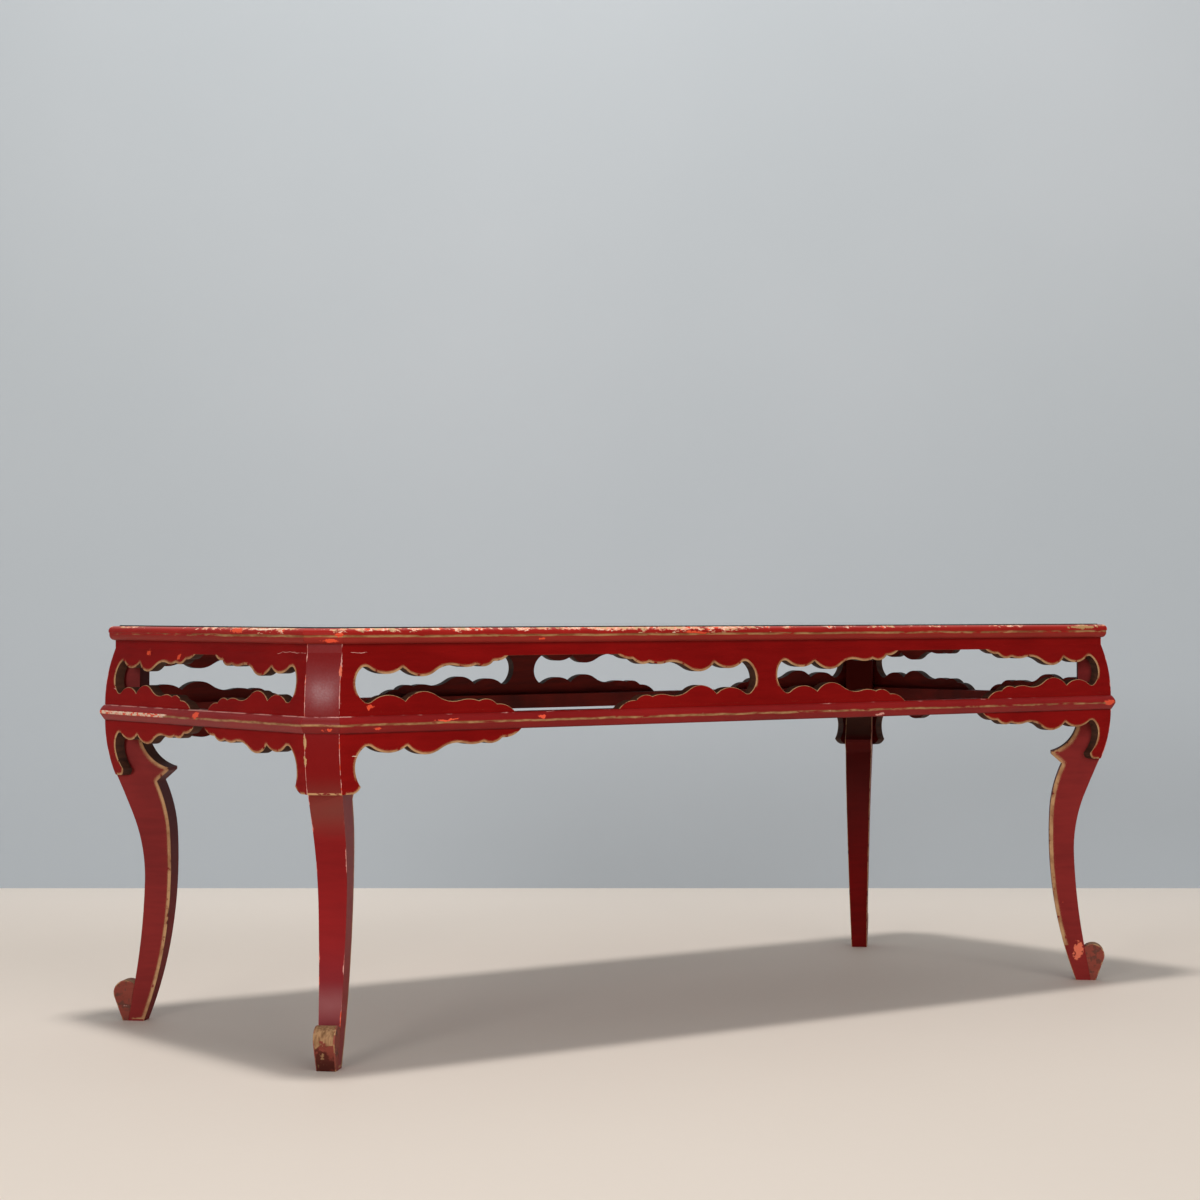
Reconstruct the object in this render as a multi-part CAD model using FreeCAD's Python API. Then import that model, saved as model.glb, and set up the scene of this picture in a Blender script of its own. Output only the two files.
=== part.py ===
"""Red lacquered coffee table in the Chinese taste: a loose glass pane over a moulded top, pierced
bombe friezes, a belt rail, scalloped aprons and diagonal cabriole legs with scroll feet.

Millimetres. +Z is up, +X runs along the length, the front is -Y, and the origin is on the floor
at the centre of the table.
"""
import FreeCAD
import Part

import collections
import math
import os

Vec = FreeCAD.Vector
ORIGIN = Vec(0, 0, 0)
UP = Vec(0, 0, 1)

# Overall sizes, length and width taken over the belt
TABLE_LENGTH = 1200.0
TABLE_WIDTH = 503.0
FRAME_HEIGHT = 450.0

# Bands of the side, from the top down to the toe of the knee
EDGE_HEIGHT = 16.0
NECK_HEIGHT = 9.0
FRIEZE_HEIGHT = 64.0
BELT_HEIGHT = 17.5
KNEE_HEIGHT = 62.5

# How far the side swells from the neck to the belt, and the thickness of its boards
BULGE = 8.8
BOARD = 12.0

# Edge strip round the top: bead, quirk and lower round
EDGE_OVERHANG = 7.5
EDGE_STRIP = 11.0
BEAD_RADIUS = 5.5
BEAD_HEIGHT = 7.2
QUIRK_DEPTH = 0.9
QUIRK_HEIGHT = 2.2
EDGE_FOOT = 1.0
# Fullness of the lower round: shares of its reach and of its drop at mid-curve
ROUND_FULLNESS = (0.8, 0.6)

# Belt rail: whole depth, projection of its nose, and the shape of that nose
BELT_DEPTH = 30.0
BELT_NOSE = 5.7
NOSE_SLOPE = 8.1
NOSE_LIP = 1.5
NOSE_FOOT = 0.6
# Fullness of the nose above its lip: shares of its projection and of its drop at mid-curve
NOSE_FULLNESS = (0.62, 0.40)
RAIL_TENON_LENGTH = 12.0
RAIL_TENON_WIDTH = 10.0
RAIL_TENON_HEIGHT = 8.0
RAIL_TENON_INSET = 3.0

# Glass pane and the board under it
GLASS = 5.0
GLASS_PROUD = 1.2
GLASS_GAP = 0.5
GLASS_ARRIS = 0.8
CLEAT_WIDTH = 26.0
BATTEN_WIDTH = 40.0
BATTEN_SPACING = 380.0

# Pierced openings of the friezes
END_POST = 12.0
CENTRE_POST = 32.0
LONG_STRAIGHT = 138.0
SHORT_STRAIGHT = 38.0
SCALLOP_LINE = 1.0
OPENING_LIP = 4.4

# Gaps left between the two aprons of a side
LONG_APRON_GAP = 686.0
SHORT_APRON_GAP = 22.0

# Scalloped edge: deepest lobe, and the round end lobe beside a post or a leg, with its eased crown
SCALLOP_DROP = 23.7
END_DROP = 11.9
END_RUN = 15.0
END_CROWN = 8.0
# Arcs of the edge in turn, each with a point on the way and its end, as shares of the run's length and
# of the deepest drop; an arc with no point on the way runs on smoothly from the one before
SCALLOP = (
    ((0.205, 0.88), (0.300, 0.60)),
    ((0.395, 1.00), (0.500, 0.80)),
    (None, (0.650, 0.59)),
    (None, (0.765, 0.54)),
    ((0.815, 0.62), (0.880, 0.38)),
    ((0.945, 0.31), (1.000, 0.00)),
)
GREAT_LOBE = SCALLOP[1][0][0]

# Wing of an apron beside the leg: a bow, a point and a toe, each place a set-in from the end of the
# run and a share of the knee's height
WING_BOW = ((3.0, 0.66), (0.0, 0.43))
WING_POINT = (9.5, 0.12)
WING_TOE = ((4.5, 0.025), (-4.0, 0.0))

# Leg, set-backs measured inwards from the neck at the canted corner
LEG_WIDTH = 36.0
FOOT_WIDTH = 21.0
POST_DEPTH = 29.0
TOE_STEP = 1.5
SPUR_SETBACK = 62.0
SPUR_RISE = 5.0
SPUR_TIP = 3.5
SPUR_HOLLOW = 40.0
SPUR_HOLLOW_RISE = 22.0
SPUR_TOP_RISE = 54.0
NOTCH_SETBACK = 48.5
NOTCH_DROP = 7.0
FOOT_BACK = 31.0
FOOT_FRONT = 12.4
SEAT_SETBACK = 21.6
SEAT_HEIGHT = 50.0
# Curves of the leg between knee and foot, in arcs: share of the toe's height, and set-back
LEG_FRONT = (((0.922, 10.9), (0.843, 20.0)), (None, (0.569, 33.4)))
LEG_BACK = (((0.890, 57.5), (0.765, 63.5)), (None, (0.356, 58.0)))
TENON_WIDTH = 20.0
TENON_DEPTH = 14.0
TENON_HEIGHT = 8.0
TENON_SETBACK = 15.0

# Scroll block on the front of a foot
SCROLL_RADIUS = 14.5
SCROLL_SETBACK = 9.8
SCROLL_CENTRE = 31.5
SCROLL_TOE = 6.0

# Tongues of friezes and aprons let into the belt, and the clearance round what is let in
TONGUE_LENGTH = 24.0
TONGUE_WIDTH = 5.0
TONGUE_DEPTH = 6.0
FIT_GAP = 0.15

# Heights that follow
EDGE_BOTTOM = FRAME_HEIGHT - EDGE_HEIGHT
NECK_BOTTOM = EDGE_BOTTOM - NECK_HEIGHT
BELT_TOP = NECK_BOTTOM - FRIEZE_HEIGHT
BELT_BOTTOM = BELT_TOP - BELT_HEIGHT
TOE = BELT_BOTTOM - KNEE_HEIGHT
GLASS_BOTTOM = FRAME_HEIGHT + GLASS_PROUD - GLASS

# Plan sizes that follow, at the neck
HALF_LENGTH = TABLE_LENGTH / 2 - BELT_NOSE - BULGE
HALF_WIDTH = TABLE_WIDTH / 2 - BELT_NOSE - BULGE
CANT = LEG_WIDTH / math.sqrt(2)
LEG_BULGE = BULGE * math.sqrt(2)
STRIP_INSIDE = EDGE_OVERHANG - EDGE_STRIP
RAIL_INSIDE = BULGE + BELT_NOSE - BELT_DEPTH

# Slopes in plan: along the side of a diagonal leg, and along the mitre of a canted corner
LEG_SLOPE = 1.0
MITRE_SLOPE = math.tan(math.radians(22.5))

# A side's half run between its legs, the centre post and straight stretch of its openings, and the
# gap between its aprons
Side = collections.namedtuple("Side", "run centre_post straight apron_gap")
LONG_SIDE = Side(HALF_LENGTH - CANT, CENTRE_POST, LONG_STRAIGHT, LONG_APRON_GAP)
SHORT_SIDE = Side(HALF_WIDTH - CANT, 0.0, SHORT_STRAIGHT, SHORT_APRON_GAP)
# Sides as name, turn about +Z, reach, sizes, and the names of the ends at local -X and +X
SIDES = (
    ("front", 0, HALF_WIDTH, LONG_SIDE, ("left", "right")),
    ("right", 90, HALF_LENGTH, SHORT_SIDE, ("front", "back")),
    ("back", 180, HALF_WIDTH, LONG_SIDE, ("right", "left")),
    ("left", 270, HALF_LENGTH, SHORT_SIDE, ("back", "front")),
)
# Corners as name, turn about +Z and the signs of X and Y
CORNERS = (
    ("front_right", 45, 1, -1),
    ("back_right", 135, 1, 1),
    ("back_left", 225, -1, 1),
    ("front_left", 315, -1, -1),
)
FAR = 100.0
SAME = 1e-6


def line(start, end):
    """Straight edge between two points."""
    return Part.makeLine(start, end)


def arc(start, middle, end):
    """Round edge through three points."""
    return Part.Arc(start, middle, end).toShape()


def tangent_arc(start, heading, end):
    """Round edge that leaves its start along a heading."""
    chord = end - start
    across = chord - heading * chord.dot(heading)
    across.normalize()
    radius = chord.dot(chord) / (2 * chord.dot(across))
    centre = start + across * radius
    bow = (start + end) * 0.5 - centre
    bow.normalize()
    return arc(start, centre + bow * radius, end)


def arc_run(start, steps):
    """Arcs in turn, each step a point on the way, or none where it runs on smoothly, and an end."""
    edges = []
    for middle, end in steps:
        edge = arc(start, middle, end) if middle else tangent_arc(start, heading, end)
        heading = edge.tangentAt(edge.LastParameter)
        edges.append(edge)
        start = end
    return edges


def polyline(points):
    """Straight edges through points in turn."""
    return [line(start, end) for start, end in zip(points, points[1:])]


def face(edges):
    """Flat face inside a closed run of edges."""
    return Part.Face(Part.Wire(Part.__sortEdges__(edges)))


def out(offset, height, along=0.0):
    """Point of a side or corner section: offset outwards from the neck, and height."""
    return Vec(along, -offset, height)


def swell(neck, bulge, at_belt, far):
    """Bombe edge, upright where it meets the belt and back at the neck offset at its far height."""
    rise = far - at_belt
    radius = (rise ** 2 + bulge ** 2) / (2 * bulge)
    half = math.asin(rise / radius) / 2
    centre = neck + bulge - radius
    middle = out(centre + radius * math.cos(half), at_belt + radius * math.sin(half))
    return arc(out(neck + bulge, at_belt), middle, out(neck, far))


def along_side(section, half_run):
    """Section at x = 0 drawn out to both sides."""
    solid = section.extrude(Vec(2 * half_run, 0, 0))
    solid.translate(Vec(-half_run, 0, 0))
    return solid


def wedge(half_run, base, slope):
    """Plan region of a side or corner between two sloping ends, half_run long each way at base."""
    corners = []
    for offset in (base + FAR, base - min(FAR, half_run / slope / 2)):
        half = half_run + slope * (offset - base)
        corners.append((-half, -offset))
        corners.append((half, -offset))
    ring = [Vec(*corners[i], 0) for i in (0, 1, 3, 2, 0)]
    return face(polyline(ring)).extrude(UP * 2 * FRAME_HEIGHT)


def octagon(offset, bottom, height):
    """Slab with canted corners, its edge offset outwards from the neck."""
    length = HALF_LENGTH + offset
    width = HALF_WIDTH + offset
    cant = CANT + offset * (2 - math.sqrt(2))
    quarter = ((length - cant, width), (length, width - cant))
    ring = []
    for sign_x, sign_y in ((1, 1), (1, -1), (-1, -1), (-1, 1)):
        pair = quarter if sign_x == sign_y else quarter[::-1]
        ring += [Vec(sign_x * x, sign_y * y, bottom) for x, y in pair]
    return face(polyline(ring + ring[:1])).extrude(UP * height)


def on_side(shape, turn, reach):
    """Copy of a piece drawn at the front, placed on its own side."""
    placed = shape.copy()
    placed.translate(Vec(0, -reach, 0))
    placed.rotate(ORIGIN, UP, turn)
    return placed


def on_corner(shape, turn, sign_x, sign_y):
    """Copy of a piece drawn facing -Y, placed on its canted corner."""
    placed = shape.copy()
    placed.rotate(ORIGIN, UP, turn)
    placed.translate(Vec(sign_x * (HALF_LENGTH - CANT / 2), sign_y * (HALF_WIDTH - CANT / 2), 0))
    return placed


def scallop(start, toward, base, hang, length):
    """Edges of one scalloped run, from its end lobe to where it dies into the straight edge.

    start is the outer end's x, toward is the way it runs, base is the straight edge's height,
    and hang is -1 where the lobes hang from that edge or 1 where they stand on it.
    """
    def place(along, drop):
        return Vec(start + toward * along, 0, base + hang * drop)

    steps = [[point and place(point[0] * length, point[1] * SCALLOP_DROP) for point in step]
             for step in SCALLOP]
    return arc_run(place(END_RUN, END_DROP), steps)


def ease_crowns(block, crowns):
    """Rounds the edges that run through a block from front to back at the crowns of end lobes."""
    edges = [edge for edge in block.Edges
             if any(all(math.hypot(end.X - crown.x, end.Z - crown.z) < SAME for end in edge.Vertexes)
                    for crown in crowns)]
    return block.makeFillet(END_CROWN, edges)


def opening(low_end, high_end, straight):
    """Cutter for one pierced opening between two x values."""
    length = (high_end - low_end - straight) / 2
    top = NECK_BOTTOM - SCALLOP_LINE
    below = BELT_TOP - FIT_GAP
    edges = []
    crowns = []
    for start, toward in ((low_end, 1), (high_end, -1)):
        edges += scallop(start, toward, top, -1, length)
        edges += scallop(start, toward, BELT_TOP, 1, length)
        lobe = start + toward * END_RUN
        pair = (Vec(lobe, 0, top - END_DROP), Vec(lobe, 0, BELT_TOP + END_DROP))
        edges.append(arc(pair[0], Vec(start, 0, (top + BELT_TOP) / 2), pair[1]))
        crowns += pair
    left = low_end + length
    right = high_end - length
    edges.append(line(Vec(left, 0, top), Vec(right, 0, top)))
    edges += polyline([Vec(left, 0, BELT_TOP), Vec(left, 0, below), Vec(right, 0, below),
                       Vec(right, 0, BELT_TOP)])
    lip = Part.makeBox(high_end - low_end, 2 * FAR, FRAME_HEIGHT)
    lip.translate(Vec(low_end, 0, NECK_BOTTOM - OPENING_LIP))
    block = ease_crowns(face(edges).extrude(Vec(0, 2 * FAR, 0)), crowns)
    cutter = block.cut(lip)
    cutter.translate(Vec(0, -FAR, 0))
    return cutter


def openings(side):
    """Openings of one side as (low end, high end, straight), parted by any centre post."""
    end = side.run - END_POST
    post = side.centre_post / 2
    if post:
        return ((-end, -post, side.straight), (post, end, side.straight))
    return ((-end, end, side.straight),)


def frieze(side):
    """Pierced bombe board between neck and belt."""
    edges = [swell(0, BULGE, BELT_TOP, NECK_BOTTOM), swell(-BOARD, BULGE, BELT_TOP, NECK_BOTTOM)]
    edges += polyline([out(0, NECK_BOTTOM), out(0, EDGE_BOTTOM), out(-BOARD, EDGE_BOTTOM),
                       out(-BOARD, NECK_BOTTOM)])
    edges.append(line(out(BULGE, BELT_TOP), out(BULGE - BOARD, BELT_TOP)))
    board = along_side(face(edges), side.run + FAR).common(wedge(side.run, 0, LEG_SLOPE))
    for low_end, high_end, straight in openings(side):
        board = board.cut(opening(low_end, high_end, straight))
    return board.fuse(tongues(frieze_tongue_places(side), BELT_TOP, -1, 0)).removeSplitter()


def frieze_tongue_places(side):
    """Places along a side where the frieze is let into the belt: great lobes and any centre post."""
    low_end, high_end, straight = openings(side)[0]
    lobe = low_end + GREAT_LOBE * (high_end - low_end - straight) / 2
    return [lobe, -lobe] + ([0.0] if side.centre_post else [])


def apron_length(side):
    """Length of an apron's scalloped run."""
    return side.run - END_POST - side.apron_gap / 2


def apron(side, toward):
    """Scalloped bracket under the belt, with a wing that runs down beside the leg."""
    start = -toward * (side.run - END_POST)
    length = apron_length(side)

    def wing(inset, share):
        return Vec(start + toward * inset, 0, TOE + share * KNEE_HEIGHT)

    outline = scallop(start, toward, BELT_BOTTOM, -1, length)
    arch = Vec(start + toward * END_RUN, 0, BELT_BOTTOM - END_DROP)
    outline += arc_run(arch, ([wing(*place) for place in WING_BOW], (None, wing(*WING_POINT)),
                              [wing(*place) for place in WING_TOE]))
    outline += polyline([wing(*WING_TOE[-1]), wing(-FAR, 0), wing(-FAR, 1), wing(length, 1)])
    blank = ease_crowns(face(outline).extrude(Vec(0, 2 * FAR, 0)), [arch])
    blank.translate(Vec(0, -FAR, 0))

    section = [swell(0, BULGE, BELT_BOTTOM, TOE), swell(-BOARD, BULGE, BELT_BOTTOM, TOE)]
    section.append(line(out(0, TOE), out(-BOARD, TOE)))
    section.append(line(out(BULGE, BELT_BOTTOM), out(BULGE - BOARD, BELT_BOTTOM)))
    board = along_side(face(section), side.run + FAR)
    board = board.common(wedge(side.run, 0, LEG_SLOPE)).common(blank)
    place = toward * apron_tongue_place(side)
    return board.fuse(tongues([place], BELT_BOTTOM, 1, 0)).removeSplitter()


def apron_tongue_place(side):
    """Place along a side where the apron at its -X end is let into the belt."""
    return GREAT_LOBE * apron_length(side) + END_POST - side.run


def tongues(places, seat, way, gap):
    """Stub tongues that stand up (way 1) or down (way -1) from a seat, or their slots with a gap."""
    depth = TONGUE_DEPTH + gap
    low = min(seat, seat + way * depth)
    solids = []
    for place in places:
        box = Part.makeBox(TONGUE_LENGTH + 2 * gap, TONGUE_WIDTH + 2 * gap, depth)
        box.translate(out(BULGE - (BOARD - TONGUE_WIDTH) / 2 + gap, low, place - TONGUE_LENGTH / 2 - gap))
        solids.append(box)
    return solids


def edge_section():
    """Section of the edge strip: bead, quirk and lower round."""
    quirk = FRAME_HEIGHT - BEAD_HEIGHT
    low = quirk - QUIRK_HEIGHT
    inner = EDGE_OVERHANG - QUIRK_DEPTH
    shoulder = EDGE_OVERHANG - BEAD_RADIUS
    bead = BEAD_RADIUS * math.sqrt(0.5)
    bead_centre = FRAME_HEIGHT - BEAD_RADIUS
    edges = [arc(out(shoulder, FRAME_HEIGHT), out(shoulder + bead, bead_centre + bead),
                 out(EDGE_OVERHANG, bead_centre))]
    edges += polyline([out(EDGE_OVERHANG, bead_centre), out(EDGE_OVERHANG, quirk), out(inner, quirk),
                       out(inner, low)])
    reach = inner - EDGE_FOOT
    drop = low - EDGE_BOTTOM
    middle = out(EDGE_FOOT + reach * ROUND_FULLNESS[0], low - drop * ROUND_FULLNESS[1])
    edges.append(arc(out(inner, low), middle, out(EDGE_FOOT, EDGE_BOTTOM)))
    edges += polyline([out(EDGE_FOOT, EDGE_BOTTOM), out(STRIP_INSIDE, EDGE_BOTTOM),
                       out(STRIP_INSIDE, FRAME_HEIGHT), out(shoulder, FRAME_HEIGHT)])
    return face(edges)


def nose_section(base):
    """Section of the belt's beaked nose, on a face that stands at the offset base."""
    tip = base + BELT_NOSE
    lip = BELT_TOP - NOSE_SLOPE
    under = lip - NOSE_LIP
    foot = base + NOSE_FOOT
    above = out(base + BELT_NOSE * NOSE_FULLNESS[0], BELT_TOP - NOSE_SLOPE * NOSE_FULLNESS[1])
    edges = [arc(out(base, BELT_TOP), above, out(tip, lip))]
    edges += polyline([out(tip, lip), out(tip, under), out(foot, BELT_BOTTOM), out(base, BELT_BOTTOM),
                       out(base, BELT_TOP)])
    return face(edges)


def rail_tenon(half_run, end, gap):
    """Stub tenon at one end of a belt rail, or its mortise with a gap all round."""
    middle = BELT_BOTTOM + BELT_HEIGHT / 2
    inside = RAIL_INSIDE + RAIL_TENON_INSET
    box = Part.makeBox(RAIL_TENON_LENGTH + RAIL_TENON_WIDTH + gap, RAIL_TENON_WIDTH + 2 * gap,
                       RAIL_TENON_HEIGHT + 2 * gap)
    low = Vec(half_run + inside, -inside - RAIL_TENON_WIDTH - gap, middle - RAIL_TENON_HEIGHT / 2 - gap)
    box.translate(low)
    limit = wedge(half_run + RAIL_TENON_LENGTH + gap, 0, LEG_SLOPE)
    box = box.common(limit)
    return box if end > 0 else box.mirror(ORIGIN, Vec(1, 0, 0))


def belt(half_run):
    """Belt rail with a mitred nose and a stub tenon at each end."""
    bar = face(polyline([out(RAIL_INSIDE, BELT_BOTTOM), out(BULGE, BELT_BOTTOM), out(BULGE, BELT_TOP),
                         out(RAIL_INSIDE, BELT_TOP), out(RAIL_INSIDE, BELT_BOTTOM)]))
    bar = along_side(bar, half_run + FAR).common(wedge(half_run, 0, LEG_SLOPE))
    nose = along_side(nose_section(BULGE), half_run + FAR)
    nose = nose.common(wedge(half_run + BULGE, BULGE, MITRE_SLOPE))
    rail = bar.fuse([nose, rail_tenon(half_run, 1, 0), rail_tenon(half_run, -1, 0)])
    return rail.removeSplitter()


def leg_outline():
    """Outline of a leg in its own diagonal plane, as set-back and height."""
    def at(setback, height):
        return out(-setback, height)

    toe = at(TOE_STEP, TOE)
    seat = at(SEAT_SETBACK, SEAT_HEIGHT)
    heel = at(FOOT_FRONT, 0)
    notch = at(NOTCH_SETBACK, TOE - NOTCH_DROP)
    spur = at(SPUR_SETBACK, TOE + SPUR_RISE)
    spur_top = at(SPUR_SETBACK, TOE + SPUR_RISE + SPUR_TIP)
    post = at(POST_DEPTH, TOE + SPUR_TOP_RISE)
    sole = at(FOOT_BACK, 0)

    def steps(curve, end):
        places = [[point and at(point[1], point[0] * TOE) for point in step] for step in curve]
        return places + [(None, end)]

    edges = polyline([at(POST_DEPTH, EDGE_BOTTOM), at(0, EDGE_BOTTOM), at(0, NECK_BOTTOM)])
    edges.append(swell(0, LEG_BULGE, BELT_TOP, NECK_BOTTOM))
    edges.append(line(at(-LEG_BULGE, BELT_TOP), at(-LEG_BULGE, BELT_BOTTOM)))
    edges.append(swell(0, LEG_BULGE, BELT_BOTTOM, TOE))
    edges.append(line(at(0, TOE), toe))
    edges += arc_run(toe, steps(LEG_FRONT, seat))
    edges += polyline([seat, heel, sole])
    edges += arc_run(notch, steps(LEG_BACK, sole))
    edges += polyline([notch, spur, spur_top])
    edges.append(arc(spur_top, at(SPUR_HOLLOW, TOE + SPUR_HOLLOW_RISE), post))
    edges.append(line(post, at(POST_DEPTH, EDGE_BOTTOM)))
    return face(edges)


def leg_taper():
    """Front view of a leg as a slab: full width down to the toe, then tapered to the floor."""
    half = LEG_WIDTH / 2
    foot = FOOT_WIDTH / 2
    ring = [Vec(-half, 0, EDGE_BOTTOM), Vec(half, 0, EDGE_BOTTOM), Vec(half, 0, TOE), Vec(foot, 0, 0),
            Vec(-foot, 0, 0), Vec(-half, 0, TOE), Vec(-half, 0, EDGE_BOTTOM)]
    slab = face(polyline(ring)).extrude(Vec(0, 4 * FAR, 0))
    slab.translate(Vec(0, -2 * FAR, 0))
    return slab


def top_tenon(gap):
    """Stub tenon on top of a leg, or its mortise with a gap all round."""
    box = Part.makeBox(TENON_WIDTH + 2 * gap, TENON_DEPTH + 2 * gap, TENON_HEIGHT + gap)
    box.translate(Vec(-TENON_WIDTH / 2 - gap, TENON_SETBACK - TENON_DEPTH / 2 - gap, EDGE_BOTTOM))
    return box


def leg():
    """Leg board from the underside of the top to the floor, in one piece."""
    slab = along_side(leg_outline(), LEG_WIDTH / 2).common(leg_taper())
    return slab.fuse(top_tenon(0)).removeSplitter()


def foot_scroll():
    """Rounded block on the front of a foot, drawn down to a narrow sole."""
    centre = out(-SCROLL_SETBACK, SCROLL_CENTRE)
    sole = out(-SCROLL_TOE, 0)
    heel = out(-FOOT_FRONT, 0)
    slope = out(-SEAT_SETBACK, SEAT_HEIGHT) - heel
    slope.normalize()

    def rim(angle):
        return centre + out(SCROLL_RADIUS * math.cos(angle), SCROLL_RADIUS * math.sin(angle))

    # Point where the round meets the seat
    back = (centre - heel).dot(slope)
    aside = (heel + slope * back - centre).Length
    crown = heel + slope * (back + math.sqrt(SCROLL_RADIUS ** 2 - aside ** 2))
    crown_angle = math.atan2(crown.z - centre.z, centre.y - crown.y)
    # Point where the line up from the sole touches the round
    away = sole - centre
    touch_angle = math.atan2(away.z, -away.y) + math.acos(SCROLL_RADIUS / away.Length)
    outline = [arc(crown, rim((crown_angle + touch_angle) / 2), rim(touch_angle))]
    outline += polyline([rim(touch_angle), sole, heel, crown])
    return along_side(face(outline), LEG_WIDTH / 2).common(leg_taper())


def cleat(half_run):
    """Slim cleat behind the neck of a frieze, which carries the top board."""
    outside = -BOARD
    inside = outside - CLEAT_WIDTH
    section = face(polyline([out(outside, NECK_BOTTOM), out(outside, EDGE_BOTTOM), out(inside, EDGE_BOTTOM),
                             out(inside, NECK_BOTTOM), out(outside, NECK_BOTTOM)]))
    return along_side(section, half_run + FAR).common(wedge(half_run, 0, LEG_SLOPE))


def batten(place):
    """Cross batten under the top board, between the two long cleats."""
    half_span = HALF_WIDTH - BOARD - CLEAT_WIDTH
    box = Part.makeBox(BATTEN_WIDTH, 2 * half_span, NECK_HEIGHT)
    box.translate(Vec(place - BATTEN_WIDTH / 2, -half_span, NECK_BOTTOM))
    return box


def build():
    """All pieces of the table by name."""
    pieces = {}
    tenon_holes = [on_corner(top_tenon(FIT_GAP), *corner[1:]) for corner in CORNERS]
    mortises = []

    for name, turn, reach, side, ends in SIDES:
        place = apron_tongue_place(side)
        slots = tongues(frieze_tongue_places(side), BELT_TOP, -1, FIT_GAP)
        slots += tongues([place, -place], BELT_BOTTOM, 1, FIT_GAP)
        strip = along_side(edge_section(), side.run + FAR).common(wedge(side.run, 0, MITRE_SLOPE))
        pieces["edge_" + name] = on_side(strip, turn, reach)
        pieces["frieze_" + name] = on_side(frieze(side), turn, reach)
        pieces["belt_" + name] = on_side(belt(side.run).cut(slots), turn, reach)
        pieces["cleat_" + name] = on_side(cleat(side.run), turn, reach)
        for end, toward in zip(ends, (1, -1)):
            pieces["apron_" + name + "_" + end] = on_side(apron(side, toward), turn, reach)
            mortises.append(on_side(rail_tenon(side.run, toward, FIT_GAP), turn, reach))

    edge_corner = along_side(edge_section(), LEG_WIDTH).common(wedge(LEG_WIDTH / 2, 0, MITRE_SLOPE))
    belt_corner = along_side(nose_section(LEG_BULGE), LEG_WIDTH)
    belt_corner = belt_corner.common(wedge(LEG_WIDTH / 2, LEG_BULGE, MITRE_SLOPE))
    whole_leg = leg()
    scroll = foot_scroll()
    for corner in CORNERS:
        name = corner[0]
        spot = corner[1:]
        pieces["leg_" + name] = on_corner(whole_leg, *spot).cut(mortises)
        pieces["foot_scroll_" + name] = on_corner(scroll, *spot)
        pieces["edge_corner_" + name] = on_corner(edge_corner, *spot)
        pieces["belt_corner_" + name] = on_corner(belt_corner, *spot)

    top = octagon(STRIP_INSIDE, EDGE_BOTTOM, GLASS_BOTTOM - EDGE_BOTTOM)
    pieces["top_board"] = top.cut(tenon_holes)
    pane = octagon(STRIP_INSIDE - GLASS_GAP, GLASS_BOTTOM, GLASS)
    rim = [edge for edge in pane.Edges if edge.BoundBox.ZMin > GLASS_BOTTOM + GLASS / 2]
    pieces["glass_top"] = pane.makeChamfer(GLASS_ARRIS, rim)
    for name, place in (("left", -BATTEN_SPACING), ("middle", 0.0), ("right", BATTEN_SPACING)):
        pieces["batten_" + name] = batten(place)
    return pieces


def main():
    """Build every piece and write one file each."""
    os.makedirs("parts", exist_ok=True)
    for name, shape in build().items():
        shape.exportStep("parts/" + name + ".step")
        print(name, len(shape.Solids), round(shape.Volume / 1000, 2), shape.isValid())


main()
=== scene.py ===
"""Looks of the red lacquered coffee table: gilded arrises, worn mouldings, loose glass and a plain studio.

Metres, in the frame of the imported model: +Z up, +X along the length, the front at -Y.
"""
import logging
import math
from dataclasses import dataclass, replace
from enum import Enum, IntEnum
from typing import Any, Callable, NamedTuple, Optional, TypeVar, Union

import bmesh
import bpy
from mathutils import Matrix, Vector


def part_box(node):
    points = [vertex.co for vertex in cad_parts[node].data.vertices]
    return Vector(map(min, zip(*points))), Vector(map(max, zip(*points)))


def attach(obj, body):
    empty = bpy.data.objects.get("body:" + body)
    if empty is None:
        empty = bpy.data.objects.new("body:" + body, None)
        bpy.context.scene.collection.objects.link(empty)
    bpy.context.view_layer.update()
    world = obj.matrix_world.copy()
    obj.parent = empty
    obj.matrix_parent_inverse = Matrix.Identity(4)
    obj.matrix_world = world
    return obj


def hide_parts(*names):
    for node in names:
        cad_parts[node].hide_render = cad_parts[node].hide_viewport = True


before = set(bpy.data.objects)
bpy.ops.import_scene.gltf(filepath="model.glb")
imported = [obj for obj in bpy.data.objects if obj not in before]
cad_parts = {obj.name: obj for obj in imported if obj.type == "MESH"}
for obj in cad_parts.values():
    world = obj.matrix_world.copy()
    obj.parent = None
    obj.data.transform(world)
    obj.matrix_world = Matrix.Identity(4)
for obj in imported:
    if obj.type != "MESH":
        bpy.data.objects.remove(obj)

log = logging.getLogger("table")

Material = bpy.types.Material
Polygon = bpy.types.MeshPolygon
Socket = bpy.types.NodeSocket
Triple = tuple[float, float, float]
Measure = TypeVar("Measure", float, "Value")

FRAME_BODY = "frame"
GLASS_BODY = "glass"
MERGE = 2e-6
FLAT = math.radians(0.05)
ROOT_TWO = math.sqrt(2)


class Levels:
    """Heights of the table's bands, in metres."""

    BEAD_FOOT = 0.4428
    QUIRK_FOOT = 0.4406
    EDGE_FOOT = 0.434
    NECK_FOOT = 0.425
    LIP = 0.4206
    BELT_TOP = 0.361
    NOSE_TOP = 0.3529
    NOSE_FOOT = 0.3514
    BELT_FOOT = 0.3435
    TOE = 0.281


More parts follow.
